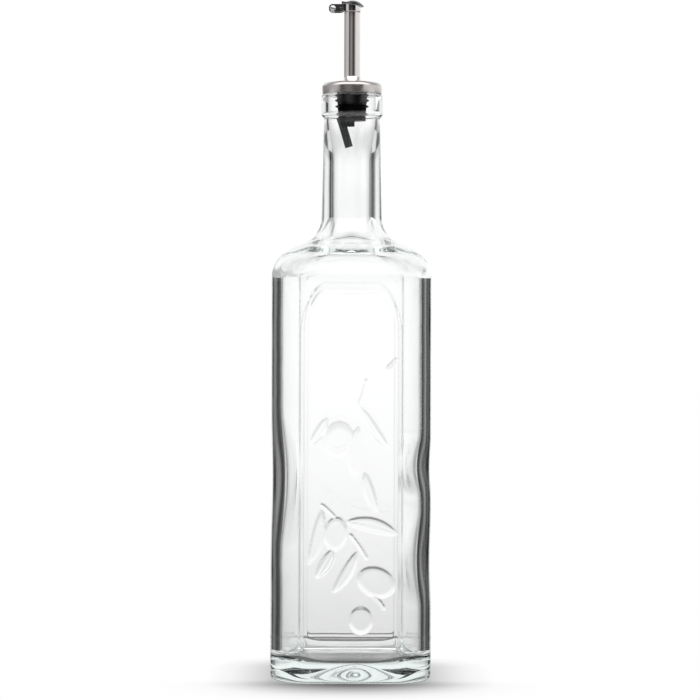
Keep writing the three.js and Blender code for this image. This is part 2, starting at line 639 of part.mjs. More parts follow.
function makeCollar() {
  const top = RIM_Z + CUT_RISE;
  const ring = latheBody([[COLLAR_INNER, COLLAR_BOTTOM], [COLLAR_OUTER, COLLAR_BOTTOM],
    [COLLAR_OUTER, top], [COLLAR_INNER, top], [COLLAR_INNER, COLLAR_BOTTOM]]);
  const ear = new THREE.Shape();
  ear.moveTo(HINGE_X, HINGE_Z - EAR_RADIUS);
  ear.lineTo(EAR_ROOT_X, HINGE_Z - EAR_RADIUS);
  ear.lineTo(EAR_ROOT_X, HINGE_Z + EAR_RADIUS);
  ear.lineTo(HINGE_X, HINGE_Z + EAR_RADIUS);
  ear.absarc(HINGE_X, HINGE_Z, EAR_RADIUS, Math.PI / 2, 3 * Math.PI / 2, false);
  let collar = toSolid(ring).subtract(toSolid(aboveMouth()));
  for (const side of [-1, 1]) {
    const edges = [side * EAR_INSIDE, side * EAR_OUTSIDE].sort((a, b) => a - b);
    collar = collar.add(toSolid(plateBetween(ear, ...edges)));
  }
  const bore = cylinderAlongZ(COLLAR_INNER, COLLAR_INNER, 0, COLLAR_BOTTOM - GAP, top + GAP, ROUND_STEPS);
  const pinHole = cylinderAlongY(PIN_RADIUS + GAP, -PIN_HALF, PIN_HALF, HINGE_X, HINGE_Z, PIN_STEPS);
  collar = collar.subtract(toSolid(bore)).subtract(toSolid(pinHole));
  addPiece('spout_collar', toGeometry(collar), polishedMaterial);
  const pin = cylinderAlongY(PIN_RADIUS, -PIN_HALF, PIN_HALF, HINGE_X, HINGE_Z, PIN_STEPS);
  addPiece('hinge_pin', pin, darkSteelMaterial);
}

// Side plate of the lever: round at the weight, round about the pin, and square at the top.
function cheekShape() {
  const endRadius = (CHEEK_TOP - HINGE_Z + CHEEK_RADIUS) / 2;
  const endX = LEVER_END_X + endRadius;
  const endZ = CHEEK_TOP - endRadius;
  const shape = new THREE.Shape();
  shape.moveTo(endX, CHEEK_TOP);
  shape.absarc(endX, endZ, endRadius, Math.PI / 2, 3 * Math.PI / 2, false);
  shape.absarc(HINGE_X, HINGE_Z, CHEEK_RADIUS, -Math.PI / 2, 0, false);
  shape.lineTo(HINGE_X + CHEEK_REACH, HINGE_Z + CHEEK_NOTCH);
  shape.lineTo(HINGE_X + CHEEK_REACH, CHEEK_TOP);
  return shape;
}

// Lid: a thin dome on a slanted disc, hollow below.
function lidSolid() {
  const profile = [[0, LID_HOLLOW], [LID_RADIUS - LID_LIP, 0], [LID_RADIUS, 0], [LID_RADIUS, LID_THICKNESS]];
  for (let i = 1; i <= 5; i += 1) {
    const reach = (1 - i / 5) * (LID_RADIUS - LID_EDGE);
    profile.push([reach, LID_THICKNESS + LID_CROWN * (1 - (reach / LID_RADIUS) ** 2)]);
  }
  const lid = latheBody(profile, LID_STEPS);
  lid.rotateY(MOUTH_SLOPE);
  const slopeDrop = LID_X * Math.tan(MOUTH_SLOPE);
  lid.translate(LID_X, 0, RIM_Z + LID_GAP / Math.cos(MOUTH_SLOPE) - slopeDrop);
  return toSolid(lid);
}

function makeFlap() {
  const webEnd = -COLLAR_OUTER - GAP;
  const cheek = cheekShape();
  let flap = lidSolid();
  for (const side of [-1, 1]) {
    const edges = [side * CHEEK_INSIDE, side * CHEEK_OUTSIDE].sort((a, b) => a - b);
    flap = flap.add(toSolid(plateBetween(cheek, ...edges)));
  }
  const web = boxBetween([LEVER_END_X + WEB_START, -CHEEK_OUTSIDE, CHEEK_TOP - WEB_THICKNESS],
    [webEnd, CHEEK_OUTSIDE, CHEEK_TOP]);
  const rise = boxBetween([webEnd - RISE_WIDTH, -CHEEK_OUTSIDE, CHEEK_TOP + RISE_FROM],
    [webEnd, CHEEK_OUTSIDE, CHEEK_TOP + RISE_TO]);
  const tab = boxBetween([TAB_FROM, -CHEEK_OUTSIDE, 0], [TAB_TO, CHEEK_OUTSIDE, WEB_THICKNESS]);
  tab.rotateY(MOUTH_SLOPE);
  tab.translate(0, 0, RIM_Z + LID_GAP / Math.cos(MOUTH_SLOPE));
  for (const piece of [web, rise, tab]) flap = flap.add(toSolid(piece));
  const reach = WEIGHT_HALF + GAP;
  const pinHole = cylinderAlongY(PIN_RADIUS + GAP, -reach, reach, HINGE_X, HINGE_Z, PIN_STEPS);
  const weightHole = cylinderAlongY(WEIGHT_RADIUS + GAP, -reach, reach, WEIGHT_X, WEIGHT_Z, WEIGHT_STEPS);
  flap = flap.subtract(toSolid(pinHole)).subtract(toSolid(weightHole));
  addPiece('flap', toGeometry(flap), darkSteelMaterial);
}

// Round weight across the end of the lever, with domed ends and a slot in each.
function makeCounterweight() {
  const profile = [];
  for (const side of [-1, 1]) {
    for (let i = 0; i <= 3; i += 1) {
      const reach = side < 0 ? i / 3 : 1 - i / 3;
      profile.push([WEIGHT_RADIUS * reach, side * (WEIGHT_HALF - WEIGHT_DOME * reach ** 2)]);
    }
  }
  const body = latheBody(profile, WEIGHT_STEPS);
  body.rotateX(Math.PI / 2);
  let weight = toSolid(body);
  for (const side of [-1, 1]) {
    const slot = new THREE.BoxGeometry(4 * WEIGHT_RADIUS, 2 * SLOT_DEPTH, SLOT_WIDTH);
    slot.rotateY(SLOT_TURN);
    slot.translate(0, side * WEIGHT_HALF, 0);
    weight = weight.subtract(toSolid(slot));
  }
  const geometry = toGeometry(weight);
  geometry.translate(WEIGHT_X, 0, WEIGHT_Z);
  addPiece('counterweight', geometry, satinMaterial);
}

makeBottle();
makeStopper();
makeBreather();
makeCap();
makeTube();
makeCollar();
makeFlap();
makeCounterweight();

export default cruet;
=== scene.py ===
"""Looks of the glass oil cruet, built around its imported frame. Metres, +Z up."""

import math

import bpy
import numpy as np
from mathutils import Matrix, Vector


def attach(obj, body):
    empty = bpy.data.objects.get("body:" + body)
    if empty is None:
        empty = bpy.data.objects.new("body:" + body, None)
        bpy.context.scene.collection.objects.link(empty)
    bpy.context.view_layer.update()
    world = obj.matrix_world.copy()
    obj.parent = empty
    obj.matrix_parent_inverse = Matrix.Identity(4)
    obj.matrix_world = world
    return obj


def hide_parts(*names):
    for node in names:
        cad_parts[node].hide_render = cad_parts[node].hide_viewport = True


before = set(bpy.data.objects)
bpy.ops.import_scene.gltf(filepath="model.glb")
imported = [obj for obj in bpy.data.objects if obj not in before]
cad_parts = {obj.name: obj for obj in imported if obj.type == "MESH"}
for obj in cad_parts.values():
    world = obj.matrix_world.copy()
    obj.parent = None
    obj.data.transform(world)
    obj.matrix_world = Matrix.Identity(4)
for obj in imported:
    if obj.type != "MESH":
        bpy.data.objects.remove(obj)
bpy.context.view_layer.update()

MM = 0.001

# Camera: level, in front of the bottle, as far away as the photograph was taken
LENS = 121.37
SENSOR = 36.0
CAMERA_PLACE = (-0.00065, -1.18, 0.1617)
CAMERA_ROLL = math.radians(-0.17)
CLIP_NEAR = 0.05
CLIP_FAR = 50.0

# Body of the bottle, in millimetres
BODY_HALF = 39.2
BODY_CORNER = 12.0
HEEL_WIDTH = 2.5
HEEL_HEIGHT = 3.0
HEEL_TOP = 8.0
RIM_CORNER = 17.0
RIM_WIDTH = 1.4
RIM_ROUNDING = 0.2
PUSH_UP = 6.5
PUSH_UP_BELL = 0.82
PUSH_UP_SKIRT = 0.2
PUSH_UP_SHIFT = 3.0
WALL = 3.6
FLOOR = 9.3
FLOOR_RISE = 1.0
FLOOR_FILLET = 4.3
FLOOR_CORNER_SHARE = 0.85
INNER_CORNER = 15.0

# Shoulder, neck and finish
SHOULDER_START = 197.0
SHOULDER_RADIUS = 17.0
SHOULDER_TURN = math.radians(65)
NECK_FILLET = 14.0
NECK_FOOT_RADIUS = 15.1
NECK_TOP_RADIUS = 14.0
NECK_END = 1.2
ROUND_FROM = 197.0
ROUND_TO = 219.0
RING_RADIUS = 15.35
RING_BOTTOM = 278.0
RING_EDGE = 1.8
RING_EDGE_WIDTH = 0.9
RING_EDGE_FROM = 0.3
MOUTH_Z = 289.0
MOUTH_EDGE = 0.7
INNER_WALL_TOP = 193.0
INNER_SHOULDER_START = 196.5
INNER_SHOULDER_RADIUS = 12.5
INNER_NECK_FILLET = 18.0
BORE_RADIUS = 9.5
MOUTH_BORE_RADIUS = 11.9
BORE_FLARE_FROM = 254.0
BORE_FLARE_TO = 277.0
# Flare from the neck to the ring: how far out, and how far above the ring's lower edge
NECK_FLARE = ((0, -1.0), (0.05, -0.7), (0.2, -0.35), (0.45, 0))

# Finger grips in the side faces: side, height of the middle, half length, depth
GRIPS = ((-1, 99.0, 36.0, 3.2), (1, 105.0, 16.0, 3.0), (1, 60.0, 25.0, 2.8))
GRIP_FLAT = 10.0
GRIP_EDGE = 0.22
GRIP_FADE = 8.0

# Sunk panels in the front and back faces
PANEL_HALF = 23.4
PANEL_BOTTOM = 14.5
PANEL_TOP = 193.6
PANEL_DEPTH = 0.55
PANEL_BEVEL = 1.5
BACK_DEPTH = 1.0
BACK_BEVEL = 3.0
PANEL_FOOT_CORNER = 3.0
PANEL_ARCH_WIDTH = 11.5
PANEL_ARCH_HEIGHT = 24.0
RELIEF_MARGIN = 1.5

# Olive branch: x, z, long and short half axes, tilt in degrees, height
OLIVES = (
    (-7.4, 72.8, 8.2, 5.6, 84.0, 0.9),
    (12.4, 49.4, 9.5, 7.2, -22.0, 0.9),
    (-6.2, 117.6, 9.6, 7.6, 80.0, 0.7),
    (5.0, 30.9, 6.6, 5.7, 90.0, 0.8),
)
# Leaves: stem end, tip, width, sideways bow, height
LEAVES = (
    ((-14.0, 84.2), (-20.2, 58.0), 6.0, 1.2, 0.7),
    ((-8.2, 65.6), (-16.6, 51.4), 5.6, 0.4, 0.6),
    ((2.8, 63.9), (-8.3, 44.6), 5.4, 1.0, 0.7),
    ((-1.9, 78.6), (22.4, 72.8), 7.0, 1.4, 0.7),
    ((3.6, 124.6), (2.0, 99.6), 6.4, -1.6, 0.55),
    ((-11.4, 128.8), (-19.4, 116.0), 5.0, 0.5, 0.5),
    ((5.2, 133.6), (17.8, 114.6), 4.6, -1.0, 0.5),
    ((6.6, 102.4), (12.6, 83.4), 5.2, -0.8, 0.6),
)
# Stems: from, to, width, sideways bow, height
STEMS = (
    ((-14.4, 87.0), (-7.6, 80.6), 1.3, 0.3, 0.55),
    ((-0.6, 72.8), (8.0, 60.4), 1.3, 0.4, 0.55),
    ((7.4, 148.0), (3.4, 134.8), 1.3, 0.6, 0.4),
    ((22.0, 157.6), (17.4, 152.8), 1.8, 0.2, 0.45),
    ((11.2, 42.4), (16.4, 36.2), 1.5, 0.6, 0.5),
)
# How leaves and stems narrow towards their ends, and the sunk vein of a leaf
LEAF_TAPER = 0.7
LEAF_SINK = 0.25
LEAF_RAMP = 4.0
STEM_TAPER = 0.5
STEM_RAMP = 12.0
VEIN_DEPTH = 0.2
VEIN_WIDTH = 0.35
VEIN_MARGIN = 0.1

# Stopper and breather
STOPPER_RADIUS = 7.6
STOPPER_LOW_RADIUS = 6.9
STOPPER_FOOT_RADIUS = 6.9
STOPPER_BOTTOM = 275.7
STOPPER_STEP = 279.6
STOPPER_CHAMFER = 0.3
STOPPER_ROUNDING = 0.2
FIN_HEIGHTS = (283.2, 286.2)
FIN_ROOT = 1.4
FIN_TIP = 0.3
FIN_REACH = 1.2
FLANGE_RADIUS = 8.4
FLANGE_THICKNESS = 0.6
CHANNEL_RADIUS = 1.3
CHANNEL_X = -0.36
CHANNEL_PAST = 0.5
STUB_X = -0.9
STUB_RADIUS = 2.2
STUB_BOTTOM = 272.5
STUB_TOP = 276.4
STUB_EDGE = 0.35
BREATHER_RADIUS = 1.95
BREATHER_BORE = 1.0
BREATHER_EDGE = 0.9
BREATHER_TOP = (-5.9, -1.7, 277.8)
BREATHER_TIP = (-1.4, -1.7, 262.1)

# Steel cap, tube and collar
GAP = 0.3
CAP_RADIUS = 14.9
CAP_BOTTOM = 289.3
CAP_CHAMFER = 0.25
CAP_EDGE_Z = 295.0
CAP_EDGE = 2.0
CAP_CROWN_Z = 295.7
TUBE_RADIUS = 4.03
TUBE_BORE = 3.1
TUBE_FOOT_RADIUS = 4.8
TUBE_FOOT_HEIGHT = 2.4
TUBE_NECK_RADIUS = 3.5
TUBE_NECK_Z = 330.4
TUBE_CHAMFER = 0.15
MOUTH_SLOPE = math.radians(10)
RIM_Z = 333.85
COLLAR_INNER = 3.8
COLLAR_OUTER = 4.25
COLLAR_BOTTOM = 330.7
COLLAR_ROUNDING = 0.1

# Hinge, flap and counterweight
HINGE_X = -5.6
HINGE_Z = 332.0
PIN_RADIUS = 0.5
PIN_HALF = 2.9
PIN_EDGE = 0.15
PIN_PLAY = 0.1
EAR_RADIUS = 1.15
EAR_INSIDE = 1.3
EAR_OUTSIDE = 1.9
EAR_SINK = 0.1
CHEEK_INSIDE = 2.2
CHEEK_OUTSIDE = 2.8
CHEEK_TOP = 334.3
CHEEK_RADIUS = 1.45
CHEEK_REACH = 1.6
CHEEK_NOTCH = 0.8
LEVER_END_X = -11.7
WEB_THICKNESS = 0.6
WEB_START = 1.6
RISE_WIDTH = 0.55
RISE_FROM = -0.3
RISE_TO = 1.15
TAB_FROM = -5.45
TAB_TO = -1.6
LID_X = 0.85
LID_RADIUS = 4.9
LID_THICKNESS = 0.45
LID_CROWN = 1.9
LID_CROWN_MARGIN = 0.3
LID_HOLLOW = 0.27
LID_HOLLOW_MARGIN = 0.9
LID_EDGE = 0.1
LID_EDGE_WIDTH = 0.12
LID_GAP = 0.35
WEIGHT_X = -9.7
WEIGHT_Z = 332.25
WEIGHT_RADIUS = 1.35
WEIGHT_HALF = 3.2
WEIGHT_DOME = 0.45
WEIGHT_PLAY = 0.15
SLOT_WIDTH = 0.6
SLOT_REACH = 2.0
SLOT_DEPTH = 0.4
SLOT_BEVEL = 0.02
SLOT_TURN = math.radians(12)

# Plates, and the blocks and rods that cut others
PLATE_BEVEL = 0.08
MITRE_LIMIT = 0.5
CUT_EDGE = 0.01
CUT_PAST = 1.0
CUT_RISE = 3.0
CUT_HALF = 5.0
WEDGE_LENGTH = 20.0
WEDGE_WIDTH = 12.0
WEDGE_HEIGHT = 12.0

# Mesh: sizes of steps in millimetres, numbers of rows and columns, and angles from which edges are sharp
FINE_STEP = 0.5
COARSE_STEP = 0.7
COARSE_FROM = 160.0
COARSE_MARGIN = 0.2
INNER_STEP = 2.5
SIDE_COLUMNS = 34
CORNER_COLUMNS = 28
PUSH_UP_FROM = 0.04
PUSH_UP_TO = 0.985
PUSH_UP_ROWS = 32
HEEL_ROWS = 14
SHOULDER_ROWS = 18
INNER_SHOULDER_ROWS = 16
SLOPE_ROWS = 8
NECK_ROWS = 16
RING_ROWS = 10
MOUTH_ROWS = 8
FLARE_ROWS = 20
FLOOR_ROWS = 12
CAP_EDGE_ROWS = 14
CAP_CROWN_ROWS = 10
TUBE_FOOT_ROWS = 9
LID_ROWS = 14
WEIGHT_ROWS = 9
ROUND_STEPS = 128
PART_STEPS = 96
WEIGHT_STEPS = 64
ROD_STEPS = 48
CORNER_STEPS = 5
CORNER_SHARE = 0.45
STOPPER_CORNER_STEPS = 4
ARC_STEPS = 12
LEVER_ARC_STEPS = 20
CHEEK_ARC_STEPS = 8
# A point just outside each rounded corner keeps the long face beside it flat
FLAT_FROM = 1.1
FLAT_STEP = 0.3
SHARP = math.radians(35)
CUT_SHARP = math.radians(30)
TINY = 1e-6


# Camera and stage

def add_camera():
    data = bpy.data.cameras.new("camera")
    data.lens = LENS
    data.sensor_width = SENSOR
    data.clip_start = CLIP_NEAR
    data.clip_end = CLIP_FAR
    camera = bpy.data.objects.new("camera", data)
    camera.location = CAMERA_PLACE
    camera.rotation_euler = (math.pi / 2, CAMERA_ROLL, 0)
    bpy.context.scene.collection.objects.link(camera)
    bpy.context.scene.camera = camera


add_camera()


class Nodes:
    """A node tree with short calls to add nodes and join them."""

    def __init__(self, tree):
        self.tree = tree
        tree.nodes.clear()

    def add(self, kind, inputs=(), **settings):
        node = self.tree.nodes.new(kind)
        for name, value in settings.items():
            setattr(node, name, value)
        for name, value in dict(inputs).items():
            if isinstance(value, bpy.types.NodeSocket):
                self.tree.links.new(value, node.inputs[name])
            else:
                node.inputs[name].default_value = value
        return node

    def math(self, operation, a, b=0.0, c=0.0):
        node = self.add("ShaderNodeMath", {0: a, 1: b, 2: c}, operation=operation)
        return node.outputs[0]

    def steps(self, value, stops):
        """Value through a colour ramp of (place, grey or colour) stops."""
        node = self.add("ShaderNodeValToRGB", {"Fac": value})
        ramp = node.color_ramp
        while len(ramp.elements) < len(stops):
            ramp.elements.new(0.5)
        for element, (place, colour) in zip(ramp.elements, stops):
            element.position = place
            grey = isinstance(colour, (int, float))
            element.color = (colour, colour, colour, 1) if grey else (*colour, 1)
        return node.outputs["Color"]

    def noise(self, coordinate, scale, detail):
        node = self.add("ShaderNodeTexNoise", {"Vector": coordinate, "Scale": scale, "Detail": detail})
        return node.outputs["Fac"]

    def stretched(self, coordinate, scale):
        return self.add("ShaderNodeMapping", {"Vector": coordinate, "Scale": scale}).outputs[0]

    def split(self, coordinate):
        return self.add("ShaderNodeSeparateXYZ", {0: coordinate}).outputs

    def between(self, value, start, full, low=0.0, high=1.0):
        """A value that goes from low to high while another one goes from start to full."""
        return self.add("ShaderNodeMapRange", {0: value, 1: start, 2: full, 3: low, 4: high}).outputs[0]


# The surroundings, for what is reflected in the object or shines through it. The camera sees white.
# Light by compass direction, in degrees from straight behind the bottle towards +X, level with the body
AROUND_LEFT = (
    (-180, 1.0), (-157, 0.9), (-147, 0.6), (-137, 0.8), (-127, 0.45), (-121, 1.05), (-84, 1.0), (-79, 0.12),
    (-71, 0.0), (-67, 0.05), (-62, 0.25), (-57, 0.20), (-52, 0.0), (-42, 0.0), (-37, 0.7), (-32, 0.60),
    (-27, 0.85), (-22, 0.95), (-17, 1.0), (-12, 1.03), (0, 1.04),
)
AROUND_RIGHT = (
    (0, 1.04), (12, 1.03), (17, 1.0), (22, 0.85), (27, 0.80), (32, 0.35), (42, 0.26), (47, 0.0),
    (52, 0.0), (57, 0.12), (62, 0.08), (67, 0.30), (72, 0.10), (77, 0.0), (80, 0.1), (83, 0.95),
    (104, 1.05), (112, 1.0), (122, 0.9), (130, 1.05), (180, 1.0),
)
# The same above the bottle's mouth, where only the metal parts mirror it
HIGH_LEFT = (
    (-180, 0.28), (-162, 0.34), (-147, 0.10), (-139, 0.12), (-132, 0.32), (-124, 0.62), (-116, 0.68),
    (-98, 0.65), (-77, 0.53), (-50, 0.39), (-20, 0.42), (-8, 0.9), (0, 1.0),
)
HIGH_RIGHT = (
    (0, 1.0), (35, 1.1), (68, 1.0), (109, 0.95), (125, 0.90), (132, 0.78), (141, 0.42), (149, 0.12),
    (156, 0.05), (170, 0.09), (180, 0.22),
)
# Dark screen in front, above the camera: from the mouth of the bottle up
FRONT_SCREEN = ((0, 1.0), (104, 1.0), (122, 0.02), (180, 0.02))
SCREEN_FROM = 3.2
SCREEN_FULL = 4.0
HIGH_FROM = 6.2
HIGH_FULL = 6.26
# And dark straight in front of the collar at the top of the tube
COLLAR_SCREEN = ((0, 1.0), (131, 1.0), (140, 0.03), (180, 0.03))
COLLAR_FROM = 8.12
COLLAR_FULL = 8.18
# Well above the horizon: dark behind, bright in front
OVERHEAD = ((0, 1.0), (50, 1.0), (65, 0.5), (95, 0.6), (112, 1.8), (180, 1.8))
OVERHEAD_FROM = 10.0
OVERHEAD_FULL = 14.0
# Nearly overhead: dark behind, and an even grey at the top
BACK_SCREEN = ((0, 0.12), (60, 0.12), (90, 1.0), (180, 1.0))
BACK_SCREEN_FROM = 56.0
BACK_SCREEN_FULL = 60.0
ZENITH = 0.5
ZENITH_FROM = 66.0
ZENITH_FULL = 74.0
# Below the horizon the surroundings are alike on all four sides, with soft dark bands between them
BAND_HALF = 22.5
LOW_BANDS = ((0, 1.0), (14, 1.0), (18, 0.65), (BAND_HALF, 0.5))
LOW_FROM = -11.0
LOW_FULL = -12.0
# Dark edge of the table behind the bottle: how dark by height, and how far round it reaches
TABLE_EDGE = ((-20, 0.0), (-18.5, 1.0), (-12, 1.0), (-10.5, 0.0))
TABLE_EDGE_LEVEL = 0.22
TABLE_EDGE_WIDTH = ((0, 1.0), (28, 1.0), (36, 0.0), (180, 0.0))
# Light by height above and below the horizon
UPRIGHT = ((-90, 0.75), (-40, 0.85), (-20, 0.80), (-10, 0.70), (-6.6, 0.73), (-5.1, 0.84),
           (-3.1, 0.93), (-1.2, 0.975), (0, 1.0), (90, 1.0))


def add_surroundings():
    world = bpy.data.worlds.new("surroundings")
    bpy.context.scene.world = world
    world.use_nodes = True
    nodes = Nodes(world.node_tree)
    direction = nodes.add("ShaderNodeTexCoord").outputs["Generated"]
    split = nodes.split(direction)
    turn = nodes.math("DEGREES", nodes.math("ARCTAN2", split[0], split[1]))
    height = nodes.math("DEGREES", nodes.math("ARCSINE", split[2]))
    height_place = nodes.math("MULTIPLY_ADD", height, 1 / 180, 0.5)
    around_place = nodes.math("MULTIPLY_ADD", turn, 1 / 360, 0.5)
    right = nodes.math("GREATER_THAN", turn, 0.0)

    def around(stops):
        return nodes.steps(around_place, [((angle + 180) / 360, grey) for angle, grey in stops])

    def sides(stops):
        return nodes.steps(nodes.math("DIVIDE", nodes.math("ABSOLUTE", turn), 180.0),
                           [(angle / 180, grey) for angle, grey in stops])

    def by_height(stops):
        return nodes.steps(height_place, [((angle + 90) / 180, grey) for angle, grey in stops])

    def blend(low, high, share):
        return nodes.math("MULTIPLY_ADD", nodes.math("SUBTRACT", high, low), share, low)

    def from_height(below, above, start, full):
        return blend(below, above, nodes.between(height, start, full))

    def screened(light, stops):
        return nodes.math("MULTIPLY", light, sides(stops))

    level = blend(around(AROUND_LEFT), around(AROUND_RIGHT), right)
    high = blend(around(HIGH_LEFT), around(HIGH_RIGHT), right)
    bands = nodes.steps(nodes.math("DIVIDE", nodes.math("PINGPONG", turn, BAND_HALF), BAND_HALF),
                        [(angle / BAND_HALF, grey) for angle, grey in LOW_BANDS])
    level = from_height(level, screened(level, FRONT_SCREEN), SCREEN_FROM, SCREEN_FULL)
    level = from_height(level, high, HIGH_FROM, HIGH_FULL)
    level = from_height(level, screened(level, COLLAR_SCREEN), COLLAR_FROM, COLLAR_FULL)
    level = from_height(level, sides(OVERHEAD), OVERHEAD_FROM, OVERHEAD_FULL)
    level = from_height(level, screened(level, BACK_SCREEN), BACK_SCREEN_FROM, BACK_SCREEN_FULL)
    level = from_height(level, ZENITH, ZENITH_FROM, ZENITH_FULL)
    level = from_height(level, bands, LOW_FROM, LOW_FULL)
    level = blend(level, TABLE_EDGE_LEVEL, screened(by_height(TABLE_EDGE), TABLE_EDGE_WIDTH))
    level = nodes.math("MULTIPLY", level, by_height(UPRIGHT))
    seen = nodes.add("ShaderNodeLightPath").outputs["Is Camera Ray"]
    level = nodes.math("MAXIMUM", level, seen)
    shader = nodes.add("ShaderNodeBackground", {"Color": (1, 1, 1, 1), "Strength": level})
    nodes.add("ShaderNodeOutputWorld", {"Surface": shader.outputs[0]})


# The floor, in metres: white with a painted soft shadow for the camera. A second plane, which only
# reflections and the glass show, has a weaker painted shadow and painted shade that makes it dark right
# under the bottle.
FLOOR_REACH = 8.0
FLOOR_DROP = 0.0004
SHADOW_DROP = 0.0008
SHADOW_SQUARE = 0.0392
SHADOW_CORNER = 0.016
SHADOW_REACH = 0.032
SHADOW = (
    (0.0, 0.58), (0.06, 0.64), (0.16, 0.70), (0.31, 0.776), (0.47, 0.855), (0.62, 0.915), (0.78, 0.95),
    (1.0, 1.0),
)
SHADOW_THROUGH = 0.4
UNDER_LEVEL = 0.2
UNDER_FADE = 0.006
FRONT_WIDTH = 0.030
FRONT_START = 0.022
FRONT_END = 0.092
FRONT_SHADOW = (
    (0.0, 0.0), (0.1, 0.4), (0.2, 0.74), (0.27, 0.71), (0.37, 0.55), (0.5, 0.40), (0.6, 0.28),
    (0.79, 0.095), (0.92, 0.03), (1.0, 0.0),
)


def footprint_distance(nodes, split):
    """Distance of a floor point from the rounded square that the bottle covers."""
    flat = SHADOW_SQUARE - SHADOW_CORNER
    x = nodes.math("MAXIMUM", nodes.math("SUBTRACT", nodes.math("ABSOLUTE", split[0]), flat), 0.0)
    y = nodes.math("MAXIMUM", nodes.math("SUBTRACT", nodes.math("ABSOLUTE", split[1]), flat), 0.0)
    square = nodes.math("ADD", nodes.math("MULTIPLY", x, x), nodes.math("MULTIPLY", y, y))
    return nodes.math("SUBTRACT", nodes.math("SQRT", square), SHADOW_CORNER)


def floor_shade(nodes, seen):
    """Painted light on the floor: a painted soft shadow all around, and a deeper one in front of the
    bottle.
    """
    split = nodes.split(nodes.add("ShaderNodeTexCoord").outputs["Object"])
    distance = footprint_distance(nodes, split)
    around = nodes.steps(nodes.math("DIVIDE", distance, SHADOW_REACH), SHADOW)
    spread = nodes.math("DIVIDE", split[0], FRONT_WIDTH)
    spread = nodes.math("EXPONENT", nodes.math("MULTIPLY", nodes.math("MULTIPLY", spread, spread), -0.5))
    forward = nodes.math("MULTIPLY_ADD", split[1], -1 / (FRONT_END - FRONT_START),
                         -FRONT_START / (FRONT_END - FRONT_START))
    deep = nodes.math("MULTIPLY", nodes.steps(forward, FRONT_SHADOW), spread)
    shade = nodes.math("MULTIPLY", around, nodes.math("SUBTRACT", 1.0, deep))
    if seen:
        return shade
    # Through the glass the painted shadow is weaker, and painted shade darkens the ground right under the
    # bottle
    shade = nodes.math("MULTIPLY_ADD", shade, SHADOW_THROUGH, 1 - SHADOW_THROUGH)
    return nodes.math("MULTIPLY", shade, nodes.between(distance, 0.0, UNDER_FADE, UNDER_LEVEL))


def add_floor(name, drop, half, seen):
    mesh = bpy.data.meshes.new(name)
    mesh.from_pydata([(x * half, y * half, 0) for x, y in ((-1, -1), (1, -1), (1, 1), (-1, 1))],
                     [], [(0, 1, 2, 3)])
    floor = bpy.data.objects.new(name, mesh)
    floor.location = (0, 0, -drop)
    bpy.context.scene.collection.objects.link(floor)
    material = bpy.data.materials.new(name)
    material.use_nodes = True
    nodes = Nodes(material.node_tree)
    kind = "ShaderNodeEmission" if seen else "ShaderNodeBsdfTransparent"
    shader = nodes.add(kind, {"Color": floor_shade(nodes, seen)})
    nodes.add("ShaderNodeOutputMaterial", {"Surface": shader.outputs[0]})
    mesh.materials.append(material)
    floor.visible_camera = seen
    floor.visible_diffuse = False
    floor.visible_glossy = not seen
    floor.visible_transmission = not seen
    floor.visible_shadow = False


add_surroundings()
add_floor("floor", FLOOR_DROP, FLOOR_REACH, True)
add_floor("floor_shadow", SHADOW_DROP, 2 * FRONT_END, False)

scene = bpy.context.scene
scene.view_settings.view_transform = "Standard"
scene.view_settings.look = "None"
scene.cycles.max_bounces = 32
scene.cycles.transmission_bounces = 28
scene.cycles.glossy_bounces = 16
scene.cycles.diffuse_bounces = 4
scene.cycles.transparent_max_bounces = 8


# Mesh helpers

def smooth(t):
    """Eased step from 0 to 1."""
    t = np.clip(t, 0, 1)
    return t * t * (3 - 2 * t)


def mix(a, b, t):
    return a + (b - a) * t


def make_object(name, points, faces, sharp=SHARP):
    """A mesh object from points in millimetres, with its faces turned outwards."""
    points = np.asarray(points, float) * MM
    volume = 0.0
    for face in faces:
        corners = points[face]
        volume += np.einsum("ij,ij->", corners[:, 0], np.cross(corners[:, 1], corners[:, 2]))
        if face.shape[1] == 4:
            volume += np.einsum("ij,ij->", corners[:, 0], np.cross(corners[:, 2], corners[:, 3]))
    polygons = [face if volume > 0 else face[:, ::-1] for face in faces if len(face)]
    mesh = bpy.data.meshes.new(name)
    mesh.from_pydata(points.tolist(), [], [row for face in polygons for row in face.tolist()])
    mesh.shade_smooth()
    if sharp:
        mesh.set_sharp_from_angle(angle=sharp)
    made = bpy.data.objects.new(name, mesh)
    bpy.context.scene.collection.objects.link(made)
    return made


def grid_faces(rows, columns, wrap_rows=False):
    """Quads between rows of points that each close on themselves."""
    count = rows if wrap_rows else rows - 1
    i, j = np.meshgrid(np.arange(count), np.arange(columns), indexing="ij")
    low = i * columns
    high = ((i + 1) % rows) * columns
    k = (j + 1) % columns
    return np.stack([low + j, low + k, high + k, high + j], -1).reshape(-1, 4)


def loft(name, rows, first, last, sharp=SHARP):
    """Closed mesh through rows of points, with one point closing each end."""
    count, columns = rows.shape[:2]
    points = np.concatenate([rows.reshape(-1, 3), [first, last]])
    j = np.arange(columns)
    k = (j + 1) % columns
    bottom = np.stack([np.full(columns, count * columns), k, j], -1)
    top_row = (count - 1) * columns
    top = np.stack([top_row + j, top_row + k, np.full(columns, count * columns + 1)], -1)
    return make_object(name, points, [grid_faces(count, columns), bottom, top], sharp)


